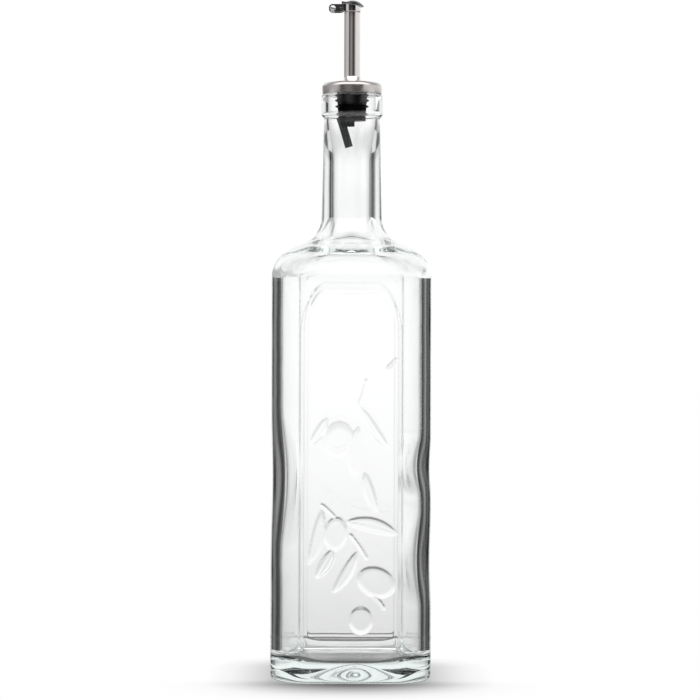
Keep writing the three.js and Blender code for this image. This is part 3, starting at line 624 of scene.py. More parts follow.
def round_corners(outline, radius, steps=CORNER_STEPS, closed=True):
    """Outline with each corner a short curve, and a point beside it that keeps the long face flat."""
    points = np.asarray(outline, float)
    count = len(points)
    result = []
    for i in range(count):
        here = points[i]
        if not closed and i in (0, count - 1):
            result.append(here)
            continue
        before = points[i - 1] - here
        after = points[(i + 1) % count] - here
        length_before = np.linalg.norm(before)
        length_after = np.linalg.norm(after)
        reach = min(radius, CORNER_SHARE * length_before, CORNER_SHARE * length_after)
        start = here + before / length_before * reach
        end = here + after / length_after * reach
        result.append(mix(here, start, FLAT_FROM))
        for t in np.linspace(0, 1, steps):
            result.append((1 - t) ** 2 * start + 2 * t * (1 - t) * here + t * t * end)
        result.append(mix(here, end, FLAT_FROM))
    return np.array(result)


def turned_rows(profile, steps):
    """A ring of points about Z for each radius and height."""
    angles = np.arange(steps) * 2 * np.pi / steps
    radius = profile[:, 0][:, None]
    heights = np.repeat(profile[:, 1][:, None], steps, 1)
    return np.stack([radius * np.cos(angles), radius * np.sin(angles), heights], -1)


def lathe(name, profile, steps=ROUND_STEPS):
    """Body turned about Z from a closed outline of radius and height."""
    points = turned_rows(np.asarray(profile, float), steps)
    faces = grid_faces(len(profile), steps, wrap_rows=True)
    return make_object(name, points.reshape(-1, 3), [faces])


def disc_lathe(name, profile, steps=ROUND_STEPS):
    """Body turned about Z whose outline starts and ends on the axis."""
    profile = np.asarray(profile, float)
    rows = turned_rows(profile[1:-1], steps)
    return loft(name, rows, [0, 0, profile[0][1]], [0, 0, profile[-1][1]])


def plate(name, outline, low, high, bevel=PLATE_BEVEL):
    """Plate cut to an outline in x and z that lies between two values of y, with eased edges."""
    outline = np.asarray(outline, float)
    edge = np.roll(outline, -1, 0) - outline
    edge /= np.linalg.norm(edge, axis=1)[:, None]
    normal = np.stack([edge[:, 1], -edge[:, 0]], -1)
    corner = normal + np.roll(normal, 1, 0)
    corner /= np.maximum(np.einsum("ij,ij->i", corner, corner), MITRE_LIMIT)[:, None] / 2
    ahead = np.roll(outline, -1, 0)
    area = np.sum(outline[:, 0] * ahead[:, 1] - ahead[:, 0] * outline[:, 1])
    inset = outline - np.sign(area) * corner * bevel
    rows = [(inset, low), (outline, low + bevel), (outline, high - bevel), (inset, high)]
    count = len(outline)
    points = [np.stack([flat[:, 0], np.full(count, y), flat[:, 1]], -1) for flat, y in rows]
    near = np.arange(count)[None, ::-1]
    far = (len(rows) - 1) * count + np.arange(count)[None, :]
    return make_object(name, np.concatenate(points), [grid_faces(len(rows), count), near, far])


def rod(name, start, end, radius, edge, bore=0.0):
    """Round rod or tube between two points, with eased ends."""
    start = Vector(start)
    end = Vector(end)
    length = (end - start).length
    if bore:
        profile = round_corners([(bore, 0), (radius, 0), (radius, length), (bore, length)], edge)
        made = lathe(name, profile, ROD_STEPS)
    else:
        profile = round_corners([(0, 0), (radius, 0), (radius, length), (0, length)], edge, closed=False)
        made = disc_lathe(name, profile, ROD_STEPS)
    turn = Vector((0, 0, 1)).rotation_difference(end - start).to_matrix().to_4x4()
    made.data.transform(Matrix.Translation(start * MM) @ turn)
    return made


def combine(target, other, operation):
    """Joins or cuts one solid with another, and removes the other."""
    modifier = target.modifiers.new("combine", "BOOLEAN")
    modifier.operation = operation
    modifier.object = other
    modifier.solver = "MANIFOLD"
    graph = bpy.context.evaluated_depsgraph_get()
    result = bpy.data.meshes.new_from_object(target.evaluated_get(graph))
    target.modifiers.clear()
    old = target.data
    target.data = result
    bpy.data.meshes.remove(old)
    spare = other.data
    bpy.data.objects.remove(other)
    bpy.data.meshes.remove(spare)
    return target


def finish_solid(made):
    """Smooth shading that stays sharp where solids were joined or cut."""
    made.data.shade_smooth()
    made.data.set_sharp_from_angle(angle=CUT_SHARP)
    return made


def tilt_to_mouth(made, x, rise):
    """Tilts a body like the slanted mouth and puts it there, rise above the mouth's plane."""
    place = Vector((x, 0, RIM_Z + rise / math.cos(MOUTH_SLOPE) - x * math.tan(MOUTH_SLOPE))) * MM
    made.data.transform(Matrix.Translation(place) @ Matrix.Rotation(MOUTH_SLOPE, 4, "Y"))
    return made


# The bottle

def square_radius(half, corner, angle):
    """Distance from the axis to the edge of a rounded square, in the direction of an angle."""
    cosine = np.abs(np.cos(angle))
    sine = np.abs(np.sin(angle))
    long = np.maximum(cosine, sine)
    short = np.minimum(cosine, sine)
    flat = half - corner
    along = flat * (long + short)
    rounded = along + np.sqrt(np.maximum(along ** 2 - 2 * flat ** 2 + corner ** 2, 0))
    return np.where(half * short <= flat * long, half / long, rounded)


def column_angles():
    """Angles of the body's columns: closest over the front face, close round the corners."""
    flat = BODY_HALF - BODY_CORNER
    edge = math.atan2(flat, BODY_HALF)
    corner = math.pi / 2 - 2 * edge
    angles = []
    for quarter in range(4):
        middle = quarter * math.pi / 2
        steps = round(2 * flat / FINE_STEP) if quarter % 2 else SIDE_COLUMNS
        across = np.linspace(-flat, flat, steps + 1)
        angles.append(middle + np.arctan2(across, BODY_HALF))
        angles.append(middle + edge + corner * np.arange(1, CORNER_COLUMNS) / CORNER_COLUMNS)
    return np.concatenate(angles)


ANGLES = column_angles()


def grip_depth(side, y, z):
    """Depth of the finger grips, which are deepest in the middle of a side face and fade at its corners."""
    flat = BODY_HALF - BODY_CORNER
    across = mix(1, GRIP_EDGE, smooth((np.abs(y) - GRIP_FLAT) / (flat - GRIP_FLAT)))
    across = across * (1 - smooth((np.abs(y) - flat) / GRIP_FADE))
    depth = np.zeros_like(y)
    for grip_side, middle, half, deep in GRIPS:
        along = np.minimum(np.abs(z - middle) / half, 1)
        depth += np.where(side == grip_side, deep * np.cos(along * np.pi / 2) ** 2, 0)
    return depth * across


def section(half, corner, z):
    """One row of points: a rounded square at a height, with the grips of that height."""
    radius = square_radius(half, corner, ANGLES)
    x = radius * np.cos(ANGLES)
    y = radius * np.sin(ANGLES)
    return np.stack([x - np.sign(x) * grip_depth(np.sign(x), y, z), y, np.full_like(x, z)], -1)


def roundness(z, share):
    return mix(share, 1, smooth((z - ROUND_FROM) / (ROUND_TO - ROUND_FROM)))


def shoulder(half, start, radius, fillet, neck, share, steps):
    """Rows of a shoulder: side rounding, slope and neck rounding, from the bottom up."""
    rows = []
    for turn in np.linspace(0, SHOULDER_TURN, steps):
        rows.append((half - radius * (1 - math.cos(turn)), start + radius * math.sin(turn)))
    slope = 1 / math.tan(SHOULDER_TURN)
    slope_half, slope_z = rows[-1]
    fillet_half = neck + fillet * (1 - math.cos(SHOULDER_TURN))
    fillet_z = slope_z + slope * (slope_half - fillet_half)
    neck_z = fillet_z + fillet * math.sin(SHOULDER_TURN)
    for t in np.linspace(0, 1, SLOPE_ROWS)[1:-1]:
        rows.append((mix(slope_half, fillet_half, t), mix(slope_z, fillet_z, t)))
    for turn in np.linspace(SHOULDER_TURN, 0, steps):
        rows.append((neck + fillet * (1 - math.cos(turn)), neck_z - fillet * math.sin(turn)))
    return [section(width, width * roundness(z, share), z) for width, z in rows]


def push_up_shape(share):
    """Height of the hollow under the base: 1 in the middle, 0 at the rim it stands on."""
    bell = (1 + math.cos(math.pi * min(share / PUSH_UP_BELL, 1))) / 2
    return mix(bell, 1 - share, PUSH_UP_SKIRT)


def ellipse_reach(x, z, middle_x, middle_z, long, short, tilt):
    """How far out a point lies in a tilted ellipse: 0 in the middle, 1 on its edge."""
    turn = math.radians(tilt)
    u = (x - middle_x) * math.cos(turn) + (z - middle_z) * math.sin(turn)
    v = (z - middle_z) * math.cos(turn) - (x - middle_x) * math.sin(turn)
    return np.sqrt((u / long) ** 2 + (v / short) ** 2)


def along_stroke(x, z, start, end, bow):
    """Places along and across a stroke that bows to one side: (0 to 1 along, millimetres across)."""
    start = np.array(start)
    direction = np.array(end) - start
    length = np.linalg.norm(direction)
    direction = direction / length
    along = ((x - start[0]) * direction[0] + (z - start[1]) * direction[1]) / length
    across = (z - start[1]) * direction[0] - (x - start[0]) * direction[1]
    return along, across - bow * 4 * along * (1 - along)


def relief_height(x, z):
    """Height of the olive branch above the sunk panel."""
    height = np.zeros_like(x)
    for middle_x, middle_z, long, short, tilt, high in OLIVES:
        reach = ellipse_reach(x, z, middle_x, middle_z, long, short, tilt)
        height = np.maximum(height, high * np.sqrt(np.clip(1 - reach ** 2, 0, 1)))
    for start, end, width, bow, high in LEAVES:
        along, across = along_stroke(x, z, start, end, bow)
        inside = np.clip(along * (1 - along) * LEAF_RAMP, 0, 1)
        half = width / 2 * inside ** LEAF_TAPER + TINY
        body = high * np.sqrt(np.clip(1 - (across / half) ** 2, 0, 1)) * inside ** LEAF_SINK
        vein = VEIN_DEPTH * np.exp(-(across / VEIN_WIDTH) ** 2) * (inside > VEIN_MARGIN)
        height = np.maximum(height, body - vein * (body > 0))
    for start, end, width, bow, high in STEMS:
        along, across = along_stroke(x, z, start, end, bow)
        inside = np.clip(along * (1 - along) * STEM_RAMP, 0, 1)
        half = width / 2 * inside ** STEM_TAPER + TINY
        height = np.maximum(height, high * np.sqrt(np.clip(1 - (across / half) ** 2, 0, 1)))
    return height


def panel_inside(x, z):
    """Distance of a point inside the panel's outline, below zero outside it."""
    middle = (PANEL_BOTTOM + PANEL_TOP) / 2
    half_height = (PANEL_TOP - PANEL_BOTTOM) / 2
    top = z > middle
    corner_x = np.where(top, PANEL_ARCH_WIDTH, PANEL_FOOT_CORNER)
    corner_z = np.where(top, PANEL_ARCH_HEIGHT, PANEL_FOOT_CORNER)
    u = (np.abs(x) - (PANEL_HALF - corner_x)) / corner_x
    v = (np.abs(z - middle) - (half_height - corner_z)) / corner_z
    u0 = np.maximum(u, 0)
    v0 = np.maximum(v, 0)
    reach = np.sqrt(u0 ** 2 + v0 ** 2)
    slope = np.sqrt((u0 / corner_x) ** 2 + (v0 / corner_z) ** 2) / np.maximum(reach, TINY)
    curved = (1 - reach) / np.maximum(slope, TINY)
    straight = np.minimum(PANEL_HALF - np.abs(x), half_height - np.abs(z - middle))
    return np.where((u > 0) & (v > 0), curved, straight)


def face_shape(rows):
    """Sinks a panel into the front and back faces, and raises the branch on the front one."""
    x = rows[..., 0]
    y = rows[..., 1]
    z = rows[..., 2]
    flat = BODY_HALF - BODY_CORNER
    face = (np.abs(y) > BODY_HALF - TINY) & (np.abs(x) <= flat + TINY)
    inside = panel_inside(x, z)
    sunk = PANEL_DEPTH * smooth(inside / PANEL_BEVEL + 0.5)
    raised = np.minimum(relief_height(x, z) * smooth(inside / RELIEF_MARGIN), sunk)
    back = BACK_DEPTH * smooth(inside / BACK_BEVEL + 0.5)
    depth = np.where(y < 0, sunk - raised, back)
    rows[..., 1] = np.where(face, y - np.sign(y) * depth, y)
    return rows


def underside_rows(rim_inner, rim_share):
    """The hollow under the base, from its middle out to the rim that the bottle stands on."""
    rows = []
    for reach in np.linspace(PUSH_UP_FROM, PUSH_UP_TO, PUSH_UP_ROWS):
        half = rim_inner * reach
        ring = section(half, half * mix(1, rim_share, reach ** 3), PUSH_UP * push_up_shape(reach))
        rows.append(ring + np.array([PUSH_UP_SHIFT * (1 - reach), 0, 0]))
    half = rim_inner + RIM_ROUNDING
    rows.append(section(half, half * rim_share, 0))
    return rows


def heel_rows(rim_outer):
    """The rounding between rim and sides, which rises higher at the corners."""
    rim = section(rim_outer, RIM_CORNER, 0)
    side = section(BODY_HALF, BODY_CORNER, 0)
    heel_height = HEEL_HEIGHT / HEEL_WIDTH * np.linalg.norm(side - rim, axis=1)
    rows = [rim]
    for turn in np.linspace(0, math.pi / 2, HEEL_ROWS)[1:]:
        row = mix(rim, side, math.sin(turn))
        row[:, 2] = heel_height * (1 - math.cos(turn))
        rows.append(row)
    return rows


def side_rows():
    """The four faces from heel to shoulder, with fine rows where the front has its relief."""
    heights = np.concatenate([np.arange(HEEL_TOP, COARSE_FROM, FINE_STEP),
                              np.arange(COARSE_FROM, SHOULDER_START - COARSE_MARGIN, COARSE_STEP)])
    return face_shape(np.array([section(BODY_HALF, BODY_CORNER, z) for z in heights]))


def neck_rows(foot_z):
    end_z = RING_BOTTOM - NECK_END
    rows = []
    for z in np.linspace(foot_z, end_z, NECK_ROWS)[1:]:
        radius = mix(NECK_FOOT_RADIUS, NECK_TOP_RADIUS, (z - foot_z) / (end_z - foot_z))
        rows.append(section(radius, radius, z))
    return rows


def mouth_rows():
    """The ring around the mouth and the flared bore inside it, down to the neck's own bore."""
    edge_z = MOUTH_Z - MOUTH_EDGE
    finish = [(NECK_TOP_RADIUS + out, RING_BOTTOM + up) for out, up in NECK_FLARE]
    for turn in np.linspace(RING_EDGE_FROM, math.pi / 2, RING_ROWS):
        finish.append((RING_RADIUS - RING_EDGE_WIDTH * (1 - math.sin(turn)),
                       RING_BOTTOM + RING_EDGE * (1 - math.cos(turn))))
    finish.append((RING_RADIUS, RING_BOTTOM + RING_EDGE + FLAT_STEP))
    finish.append((RING_RADIUS, edge_z - FLAT_STEP))
    edge = [(MOUTH_EDGE * (1 - math.cos(turn)), edge_z + MOUTH_EDGE * math.sin(turn))
            for turn in np.linspace(0, math.pi / 2, MOUTH_ROWS)]
    finish += [(RING_RADIUS - inset, z) for inset, z in edge]
    finish += [(MOUTH_BORE_RADIUS + inset, z) for inset, z in edge[::-1]]
    finish.append((MOUTH_BORE_RADIUS, edge_z - FLAT_STEP))
    finish.append((MOUTH_BORE_RADIUS, BORE_FLARE_TO + FLAT_STEP))
    for t in np.linspace(0, 1, FLARE_ROWS):
        finish.append((mix(MOUTH_BORE_RADIUS, BORE_RADIUS, smooth(t)),
                       mix(BORE_FLARE_TO, BORE_FLARE_FROM, t)))
    return [section(radius, radius, z) for radius, z in finish]


def floor_rows(inner_half, inner_share):
    """The hollow's floor, from the fillet at the walls to its slightly raised middle."""
    rows = []
    for turn in np.linspace(0, math.pi / 2, FLOOR_ROWS):
        half = inner_half - FLOOR_FILLET * (1 - math.cos(turn))
        share = mix(inner_share, FLOOR_CORNER_SHARE, turn / (math.pi / 2))
        rows.append(section(half, half * share, FLOOR + FLOOR_FILLET * (1 - math.sin(turn))))
    for reach in np.linspace(1, 0, FLOOR_ROWS)[1:-1]:
        half = (inner_half - FLOOR_FILLET) * reach
        height = FLOOR + FLOOR_RISE * (1 + math.cos(math.pi * reach)) / 2
        rows.append(section(half, half * mix(1, FLOOR_CORNER_SHARE, reach), height))
    return rows


def make_glass():
    """One closed skin: up the outside from under the base, over the mouth, and down the inside."""
    inner_half = BODY_HALF - WALL
    inner_share = INNER_CORNER / inner_half
    rim_outer = BODY_HALF - HEEL_WIDTH
    rows = underside_rows(rim_outer - RIM_WIDTH, RIM_CORNER / rim_outer)
    rows.extend(heel_rows(rim_outer))
    rows.extend(side_rows())
    rows.extend(shoulder(BODY_HALF, SHOULDER_START, SHOULDER_RADIUS, NECK_FILLET,
                         NECK_FOOT_RADIUS, BODY_CORNER / BODY_HALF, SHOULDER_ROWS))
    rows.extend(neck_rows(rows[-1][0, 2]))
    rows.extend(mouth_rows())
    rows.extend(shoulder(inner_half, INNER_SHOULDER_START, INNER_SHOULDER_RADIUS,
                         INNER_NECK_FILLET, BORE_RADIUS, inner_share, INNER_SHOULDER_ROWS)[::-1])
    for z in np.arange(INNER_WALL_TOP, FLOOR + FLOOR_FILLET + FINE_STEP, -INNER_STEP):
        rows.append(section(inner_half, INNER_CORNER, z))
    rows.extend(floor_rows(inner_half, inner_share))
    glass = loft("glass", np.array(rows), [PUSH_UP_SHIFT, 0, PUSH_UP], [0, 0, FLOOR + FLOOR_RISE], sharp=0)
    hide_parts("bottle")
    return glass


# The stopper and its breather

def make_stopper():
    socket = TUBE_RADIUS + GAP
    profile = [(CHANNEL_RADIUS, STOPPER_BOTTOM), (STOPPER_FOOT_RADIUS, STOPPER_BOTTOM),
               (STOPPER_FOOT_RADIUS, STOPPER_STEP), (STOPPER_LOW_RADIUS, STOPPER_STEP + STOPPER_CHAMFER)]
    for z in FIN_HEIGHTS:
        radius = mix(STOPPER_LOW_RADIUS, STOPPER_RADIUS, (z - STOPPER_STEP) / (MOUTH_Z - STOPPER_STEP))
        profile += [(radius, z - FIN_ROOT / 2), (radius + FIN_REACH, z - FIN_TIP / 2),
                    (radius + FIN_REACH, z + FIN_TIP / 2), (radius, z + FIN_ROOT / 2)]
    profile += [(STOPPER_RADIUS, MOUTH_Z - FLANGE_THICKNESS), (FLANGE_RADIUS, MOUTH_Z - FLANGE_THICKNESS),
                (FLANGE_RADIUS, MOUTH_Z), (socket, MOUTH_Z), (socket, STOPPER_STEP),
                (CHANNEL_RADIUS, STOPPER_STEP)]
    profile = round_corners(profile, STOPPER_ROUNDING, STOPPER_CORNER_STEPS)
    stopper = lathe("stopper_rubber", profile, PART_STEPS)
    stub = rod("stub", (STUB_X, 0, STUB_BOTTOM), (STUB_X, 0, STUB_TOP), STUB_RADIUS, STUB_EDGE)
    stopper = combine(stopper, stub, "UNION")
    channel = rod("channel", (CHANNEL_X, 0, STUB_BOTTOM - CUT_PAST),
                  (CHANNEL_X, 0, STOPPER_STEP + CHANNEL_PAST), CHANNEL_RADIUS, CUT_EDGE)
    stopper = combine(stopper, channel, "DIFFERENCE")
    hole = rod("hole", BREATHER_TIP, BREATHER_TOP, BREATHER_RADIUS + GAP, CUT_EDGE)
    stopper = combine(stopper, hole, "DIFFERENCE")
    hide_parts("stopper")
    return finish_solid(stopper)


def make_breather():
    breather = rod("breather", BREATHER_TIP, BREATHER_TOP, BREATHER_RADIUS, BREATHER_EDGE, BREATHER_BORE)
    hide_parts("breather_tube")
    return breather


# Steel cap, tube and collar

def make_cap():
    hole = TUBE_RADIUS + GAP
    profile = [(hole, CAP_BOTTOM), (CAP_RADIUS - CAP_CHAMFER, CAP_BOTTOM),
               (CAP_RADIUS, CAP_BOTTOM + CAP_CHAMFER)]
    for turn in np.linspace(0, math.pi / 2, CAP_EDGE_ROWS):
        profile.append((CAP_RADIUS - CAP_EDGE * (1 - math.cos(turn)),
                        CAP_EDGE_Z - CAP_EDGE * (1 - math.sin(turn))))
    for t in np.linspace(0, 1, CAP_CROWN_ROWS)[1:]:
        profile.append((mix(CAP_RADIUS - CAP_EDGE, hole, t),
                        CAP_EDGE_Z + (CAP_CROWN_Z - CAP_EDGE_Z) * math.sin(t * math.pi / 2)))
    cap = lathe("cap_steel", profile)
    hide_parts("spout_cap")
    return cap


def slanted_wedge(name):
    """Block that takes away what stands above the slanted mouth."""
    around = ((-1, -1), (1, -1), (1, 1), (-1, 1))
    corners = [(x * WEDGE_LENGTH, y * WEDGE_WIDTH, z) for z in (0, WEDGE_HEIGHT) for x, y in around]
    sides = [[0, 1, 5, 4], [1, 2, 6, 5], [2, 3, 7, 6], [3, 0, 4, 7]]
    block = make_object(name, corners, [np.array([[3, 2, 1, 0], [4, 5, 6, 7], *sides])])
    return tilt_to_mouth(block, 0, 0)


def make_tube():
    bottom = STOPPER_STEP + GAP
    foot = CAP_CROWN_Z + GAP
    top = RIM_Z + CUT_RISE
    chamfer_z = TUBE_NECK_Z - TUBE_CHAMFER
    profile = [(TUBE_BORE, bottom), (TUBE_RADIUS, bottom), (TUBE_RADIUS, foot), (TUBE_FOOT_RADIUS, foot)]
    for t in np.linspace(0, 1, TUBE_FOOT_ROWS)[1:]:
        profile.append((mix(TUBE_RADIUS, TUBE_FOOT_RADIUS, (1 - t) ** 2), foot + TUBE_FOOT_HEIGHT * t))
    profile += [(TUBE_RADIUS, foot + TUBE_FOOT_HEIGHT + FLAT_STEP), (TUBE_RADIUS, chamfer_z - FLAT_STEP),
                (TUBE_RADIUS, chamfer_z), (TUBE_RADIUS - TUBE_CHAMFER, TUBE_NECK_Z),
                (TUBE_NECK_RADIUS, TUBE_NECK_Z), (TUBE_NECK_RADIUS, top), (TUBE_BORE, top)]
    tube = combine(lathe("tube_steel", profile), slanted_wedge("wedge"), "DIFFERENCE")
    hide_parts("spout_tube")
    return finish_solid(tube)


def arc(x, z, radius, start, end, steps=ARC_STEPS):
    turns = np.linspace(start, end, steps)
    return [(x + radius * math.cos(turn), z + radius * math.sin(turn)) for turn in turns]


def hinge_rod(name, radius, edge):
    return rod(name, (HINGE_X, -PIN_HALF, HINGE_Z), (HINGE_X, PIN_HALF, HINGE_Z), radius, edge)


def make_collar():
    top = RIM_Z + CUT_RISE
    profile = round_corners([(COLLAR_INNER, COLLAR_BOTTOM), (COLLAR_OUTER, COLLAR_BOTTOM),
                             (COLLAR_OUTER, top), (COLLAR_INNER, top)], COLLAR_ROUNDING)
    collar = combine(lathe("collar_steel", profile), slanted_wedge("wedge"), "DIFFERENCE")
    near = -COLLAR_INNER - EAR_SINK
    ear = arc(HINGE_X, HINGE_Z, EAR_RADIUS, math.pi / 2, 3 * math.pi / 2)
    ear += [(near, HINGE_Z - EAR_RADIUS), (near, HINGE_Z + EAR_RADIUS)]
    for side in (-1, 1):
        low, high = sorted((side * EAR_INSIDE, side * EAR_OUTSIDE))
        collar = combine(collar, plate("ear", ear, low, high), "UNION")
    collar = combine(collar, hinge_rod("hole", PIN_RADIUS + PIN_PLAY, CUT_EDGE), "DIFFERENCE")
    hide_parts("spout_collar")
    return finish_solid(collar)


def make_pin():
    pin = hinge_rod("pin_steel", PIN_RADIUS, PIN_EDGE)
    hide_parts("hinge_pin")
    return pin


# Flap and counterweight

def cheek_outline():
    """Side of the lever, seen along Y: round at the weight's end, rounded about the pin at the other."""
    end_radius = (CHEEK_TOP - HINGE_Z + CHEEK_RADIUS) / 2
    outline = arc(LEVER_END_X + end_radius, CHEEK_TOP - end_radius, end_radius,
                  math.pi / 2, 3 * math.pi / 2, LEVER_ARC_STEPS)
    outline += arc(HINGE_X, HINGE_Z, CHEEK_RADIUS, -math.pi / 2, 0, CHEEK_ARC_STEPS)
    outline += [(HINGE_X + CHEEK_REACH, HINGE_Z + CHEEK_NOTCH), (HINGE_X + CHEEK_REACH, CHEEK_TOP)]
    return outline


def make_lid():
    profile = [(0, LID_HOLLOW), (LID_RADIUS - LID_HOLLOW_MARGIN, 0), (LID_RADIUS - LID_EDGE, 0),
               (LID_RADIUS, LID_EDGE), (LID_RADIUS, LID_THICKNESS - LID_EDGE),
               (LID_RADIUS - LID_EDGE_WIDTH, LID_THICKNESS)]
    for t in np.linspace(1, 0, LID_ROWS)[1:]:
        reach = t * (LID_RADIUS - LID_CROWN_MARGIN)
        profile.append((reach, LID_THICKNESS + LID_CROWN * (1 - (reach / LID_RADIUS) ** 2)))
    return tilt_to_mouth(disc_lathe("flap_steel", profile, PART_STEPS), LID_X, LID_GAP)


def box_outline(left, right, low, high):
    return [(left, low), (right, low), (right, high), (left, high)]


def make_flap():
    flap = make_lid()
    for side in (-1, 1):
        low, high = sorted((side * CHEEK_INSIDE, side * CHEEK_OUTSIDE))
        flap = combine(flap, plate("cheek", cheek_outline(), low, high), "UNION")
    web_end = -COLLAR_OUTER - GAP
    web_start = LEVER_END_X + WEB_START
    web = box_outline(web_start, web_end, CHEEK_TOP - WEB_THICKNESS, CHEEK_TOP)
    flap = combine(flap, plate("web", web, -CHEEK_OUTSIDE, CHEEK_OUTSIDE), "UNION")
    rise = box_outline(web_end - RISE_WIDTH, web_end, CHEEK_TOP + RISE_FROM, CHEEK_TOP + RISE_TO)
    flap = combine(flap, plate("rise", rise, -CHEEK_OUTSIDE, CHEEK_OUTSIDE), "UNION")
    tab = plate("tab", box_outline(TAB_FROM, TAB_TO, 0, WEB_THICKNESS), -CHEEK_OUTSIDE, CHEEK_OUTSIDE)
    flap = combine(flap, tilt_to_mouth(tab, 0, LID_GAP), "UNION")
    holes = ((HINGE_X, HINGE_Z, PIN_RADIUS + GAP), (WEIGHT_X, WEIGHT_Z, WEIGHT_RADIUS + WEIGHT_PLAY))
    for x, z, radius in holes:
        hole = rod("hole", (x, -CUT_HALF, z), (x, CUT_HALF, z), radius, CUT_EDGE)
        flap = combine(flap, hole, "DIFFERENCE")
    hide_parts("flap")
    return finish_solid(flap)


def make_weight():
    """Round weight across the lever, with domed ends and a slot in each."""
    reaches = np.linspace(0, 1, WEIGHT_ROWS)
    outline = []
    for side, order in ((-1, reaches), (1, reaches[::-1])):
        outline += [(WEIGHT_RADIUS * t, side * (WEIGHT_HALF - WEIGHT_DOME * t ** 2)) for t in order]
    weight = disc_lathe("weight_steel", outline, WEIGHT_STEPS)
    place = Matrix.Translation(Vector((WEIGHT_X, 0, WEIGHT_Z)) * MM)
    weight.data.transform(place @ Matrix.Rotation(math.pi / 2, 4, "X"))
    slot = box_outline(-SLOT_REACH, SLOT_REACH, -SLOT_WIDTH / 2, SLOT_WIDTH / 2)
    for side in (-1, 1):
        low, high = sorted((side * (WEIGHT_HALF - SLOT_DEPTH), side * (WEIGHT_HALF + CUT_PAST)))
        cutter = plate("slot", slot, low, high, SLOT_BEVEL)
        cutter.data.transform(place @ Matrix.Rotation(SLOT_TURN, 4, "Y"))
        weight = combine(weight, cutter, "DIFFERENCE")
    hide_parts("counterweight")
    return finish_solid(weight)


# Materials: colours, sizes of patterns as scales per metre, and depths of bumps in metres
GLASS_IOR = 1.5
GLASS_TINT = (0.77, 0.87, 0.85, 1)
GLASS_DENSITY = 10.0
WAVE_SCALE = 45.0
WAVE_STRENGTH = 0.25
WAVE_DEPTH = 0.0005
# Shares of a noise between which its light and dark sides lie
NOISE_LOW = 0.3
NOISE_HIGH = 0.7
STEEL_CLOUDS = 260.0
STEEL_CLOUD_SHARE = 0.4
STEEL_DARK = 0.86
STEEL_BUMP = 0.5
MOULD_CLOUDS = 220.0
MOULD_GRAIN = 2500.0
MOULD_LIGHT = 1.5
MOULD_LIGHT_FROM = 0.75
MOULD_SPREAD = 0.08
MOULD_BUMP = 0.4


def start_material(name):
    """A new material, its nodes, and the place in the object that its patterns follow."""
    material = bpy.data.materials.new(name)
    material.use_nodes = True
    nodes = Nodes(material.node_tree)
    return material, nodes, nodes.add("ShaderNodeTexCoord").outputs["Object"]


def glass_material():
    """Clear glass, faintly green where it is thick, with slow waves in its skin."""
    material, nodes, place = start_material("clear_glass")
    wave = nodes.noise(place, WAVE_SCALE, 1.0)
    bump = nodes.add("ShaderNodeBump", {"Height": wave, "Strength": WAVE_STRENGTH, "Distance": WAVE_DEPTH})
    shader = nodes.add("ShaderNodeBsdfPrincipled", {
        "Base Color": (1, 1, 1, 1), "Roughness": 0.0, "IOR": GLASS_IOR,
        "Transmission Weight": 1.0, "Normal": bump.outputs[0]})
    volume = nodes.add("ShaderNodeVolumeAbsorption", {"Color": GLASS_TINT, "Density": GLASS_DENSITY})
    nodes.add("ShaderNodeOutputMaterial", {"Surface": shader.outputs[0], "Volume": volume.outputs[0]})
    return material


def steel_material(name, colour, rough, spread, stretch, depth):
    """Steel with fine lines left by turning or polishing."""
    material, nodes, place = start_material(name)
    lines = nodes.noise(nodes.stretched(place, stretch), 1.0, 3.0)
    clouds = nodes.noise(place, STEEL_CLOUDS, 2.0)
    both = nodes.math("MULTIPLY_ADD", clouds, STEEL_CLOUD_SHARE,
                      nodes.math("MULTIPLY", lines, 1 - STEEL_CLOUD_SHARE))
    roughness = nodes.between(both, NOISE_LOW, NOISE_HIGH, rough - spread, rough + spread)
    dark = tuple(STEEL_DARK * value for value in colour)
    tint = nodes.steps(both, ((NOISE_LOW, dark), (NOISE_HIGH, colour)))
    bump = nodes.add("ShaderNodeBump", {"Height": lines, "Strength": STEEL_BUMP, "Distance": depth})
    shader = nodes.add("ShaderNodeBsdfPrincipled", {
        "Base Color": tint, "Metallic": 1.0, "Roughness": roughness, "Normal": bump.outputs[0]})
    nodes.add("ShaderNodeOutputMaterial", {"Surface": shader.outputs[0]})
    return material


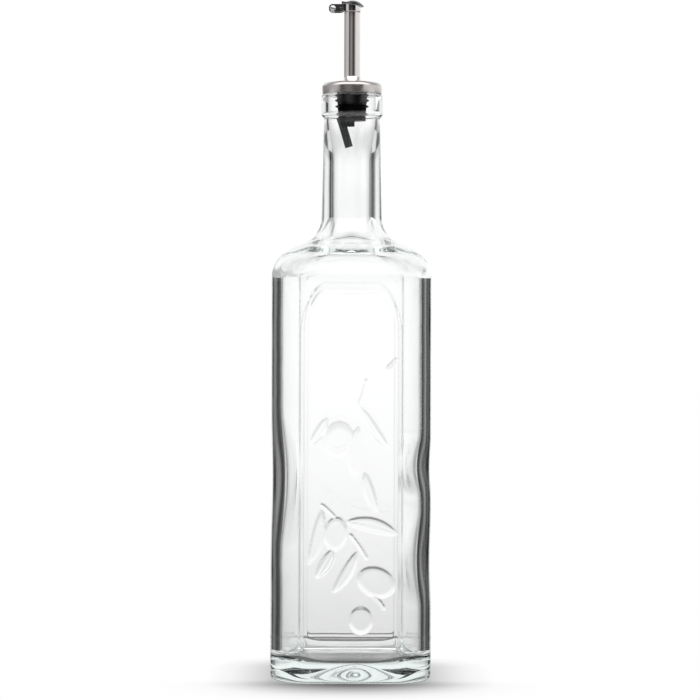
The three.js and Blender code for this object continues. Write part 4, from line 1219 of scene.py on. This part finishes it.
def moulded_material(name, colour, rough, gloss, depth):
    """Moulded rubber or plastic with a fine grain."""
    material, nodes, place = start_material(name)
    fine = nodes.noise(place, MOULD_GRAIN, 3.0)
    clouds = nodes.noise(place, MOULD_CLOUDS, 2.0)
    roughness = nodes.between(clouds, NOISE_LOW, NOISE_HIGH, rough - MOULD_SPREAD, rough + MOULD_SPREAD)
    light = tuple(MOULD_LIGHT * value for value in colour)
    tint = nodes.steps(clouds, ((NOISE_LOW, colour), (MOULD_LIGHT_FROM, light)))
    bump = nodes.add("ShaderNodeBump", {"Height": fine, "Strength": MOULD_BUMP, "Distance": depth})
    shader = nodes.add("ShaderNodeBsdfPrincipled", {
        "Base Color": tint, "Roughness": roughness, "Specular IOR Level": gloss,
        "Normal": bump.outputs[0]})
    nodes.add("ShaderNodeOutputMaterial", {"Surface": shader.outputs[0]})
    return material


def dress(made, material, body):
    made.data.materials.clear()
    made.data.materials.append(material)
    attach(made, body)


glass = glass_material()
rubber = moulded_material("black_rubber", (0.0002, 0.0002, 0.0003), rough=0.3, gloss=0.01, depth=1e-6)
plastic = moulded_material("dark_plastic", (0.004, 0.006, 0.005), rough=0.3, gloss=0.06, depth=1e-6)
satin = steel_material("satin_steel", (0.62, 0.59, 0.575), rough=0.12, spread=0.03,
                       stretch=(200.0, 200.0, 4000.0), depth=1e-6)
polished = steel_material("polished_steel", (0.82, 0.765, 0.76), rough=0.03, spread=0.01,
                          stretch=(3000.0, 3000.0, 30.0), depth=0.7e-6)
dark_steel = steel_material("dark_steel", (0.10, 0.095, 0.095), rough=0.16, spread=0.05,
                            stretch=(800.0, 2500.0, 800.0), depth=4e-6)

dress(make_glass(), glass, "cruet")
dress(make_stopper(), rubber, "cruet")
dress(make_breather(), plastic, "cruet")
dress(make_cap(), satin, "cruet")
dress(make_tube(), polished, "cruet")
dress(make_collar(), polished, "cruet")
dress(make_pin(), dark_steel, "cruet")
dress(make_flap(), dark_steel, "lid")
dress(make_weight(), satin, "lid")
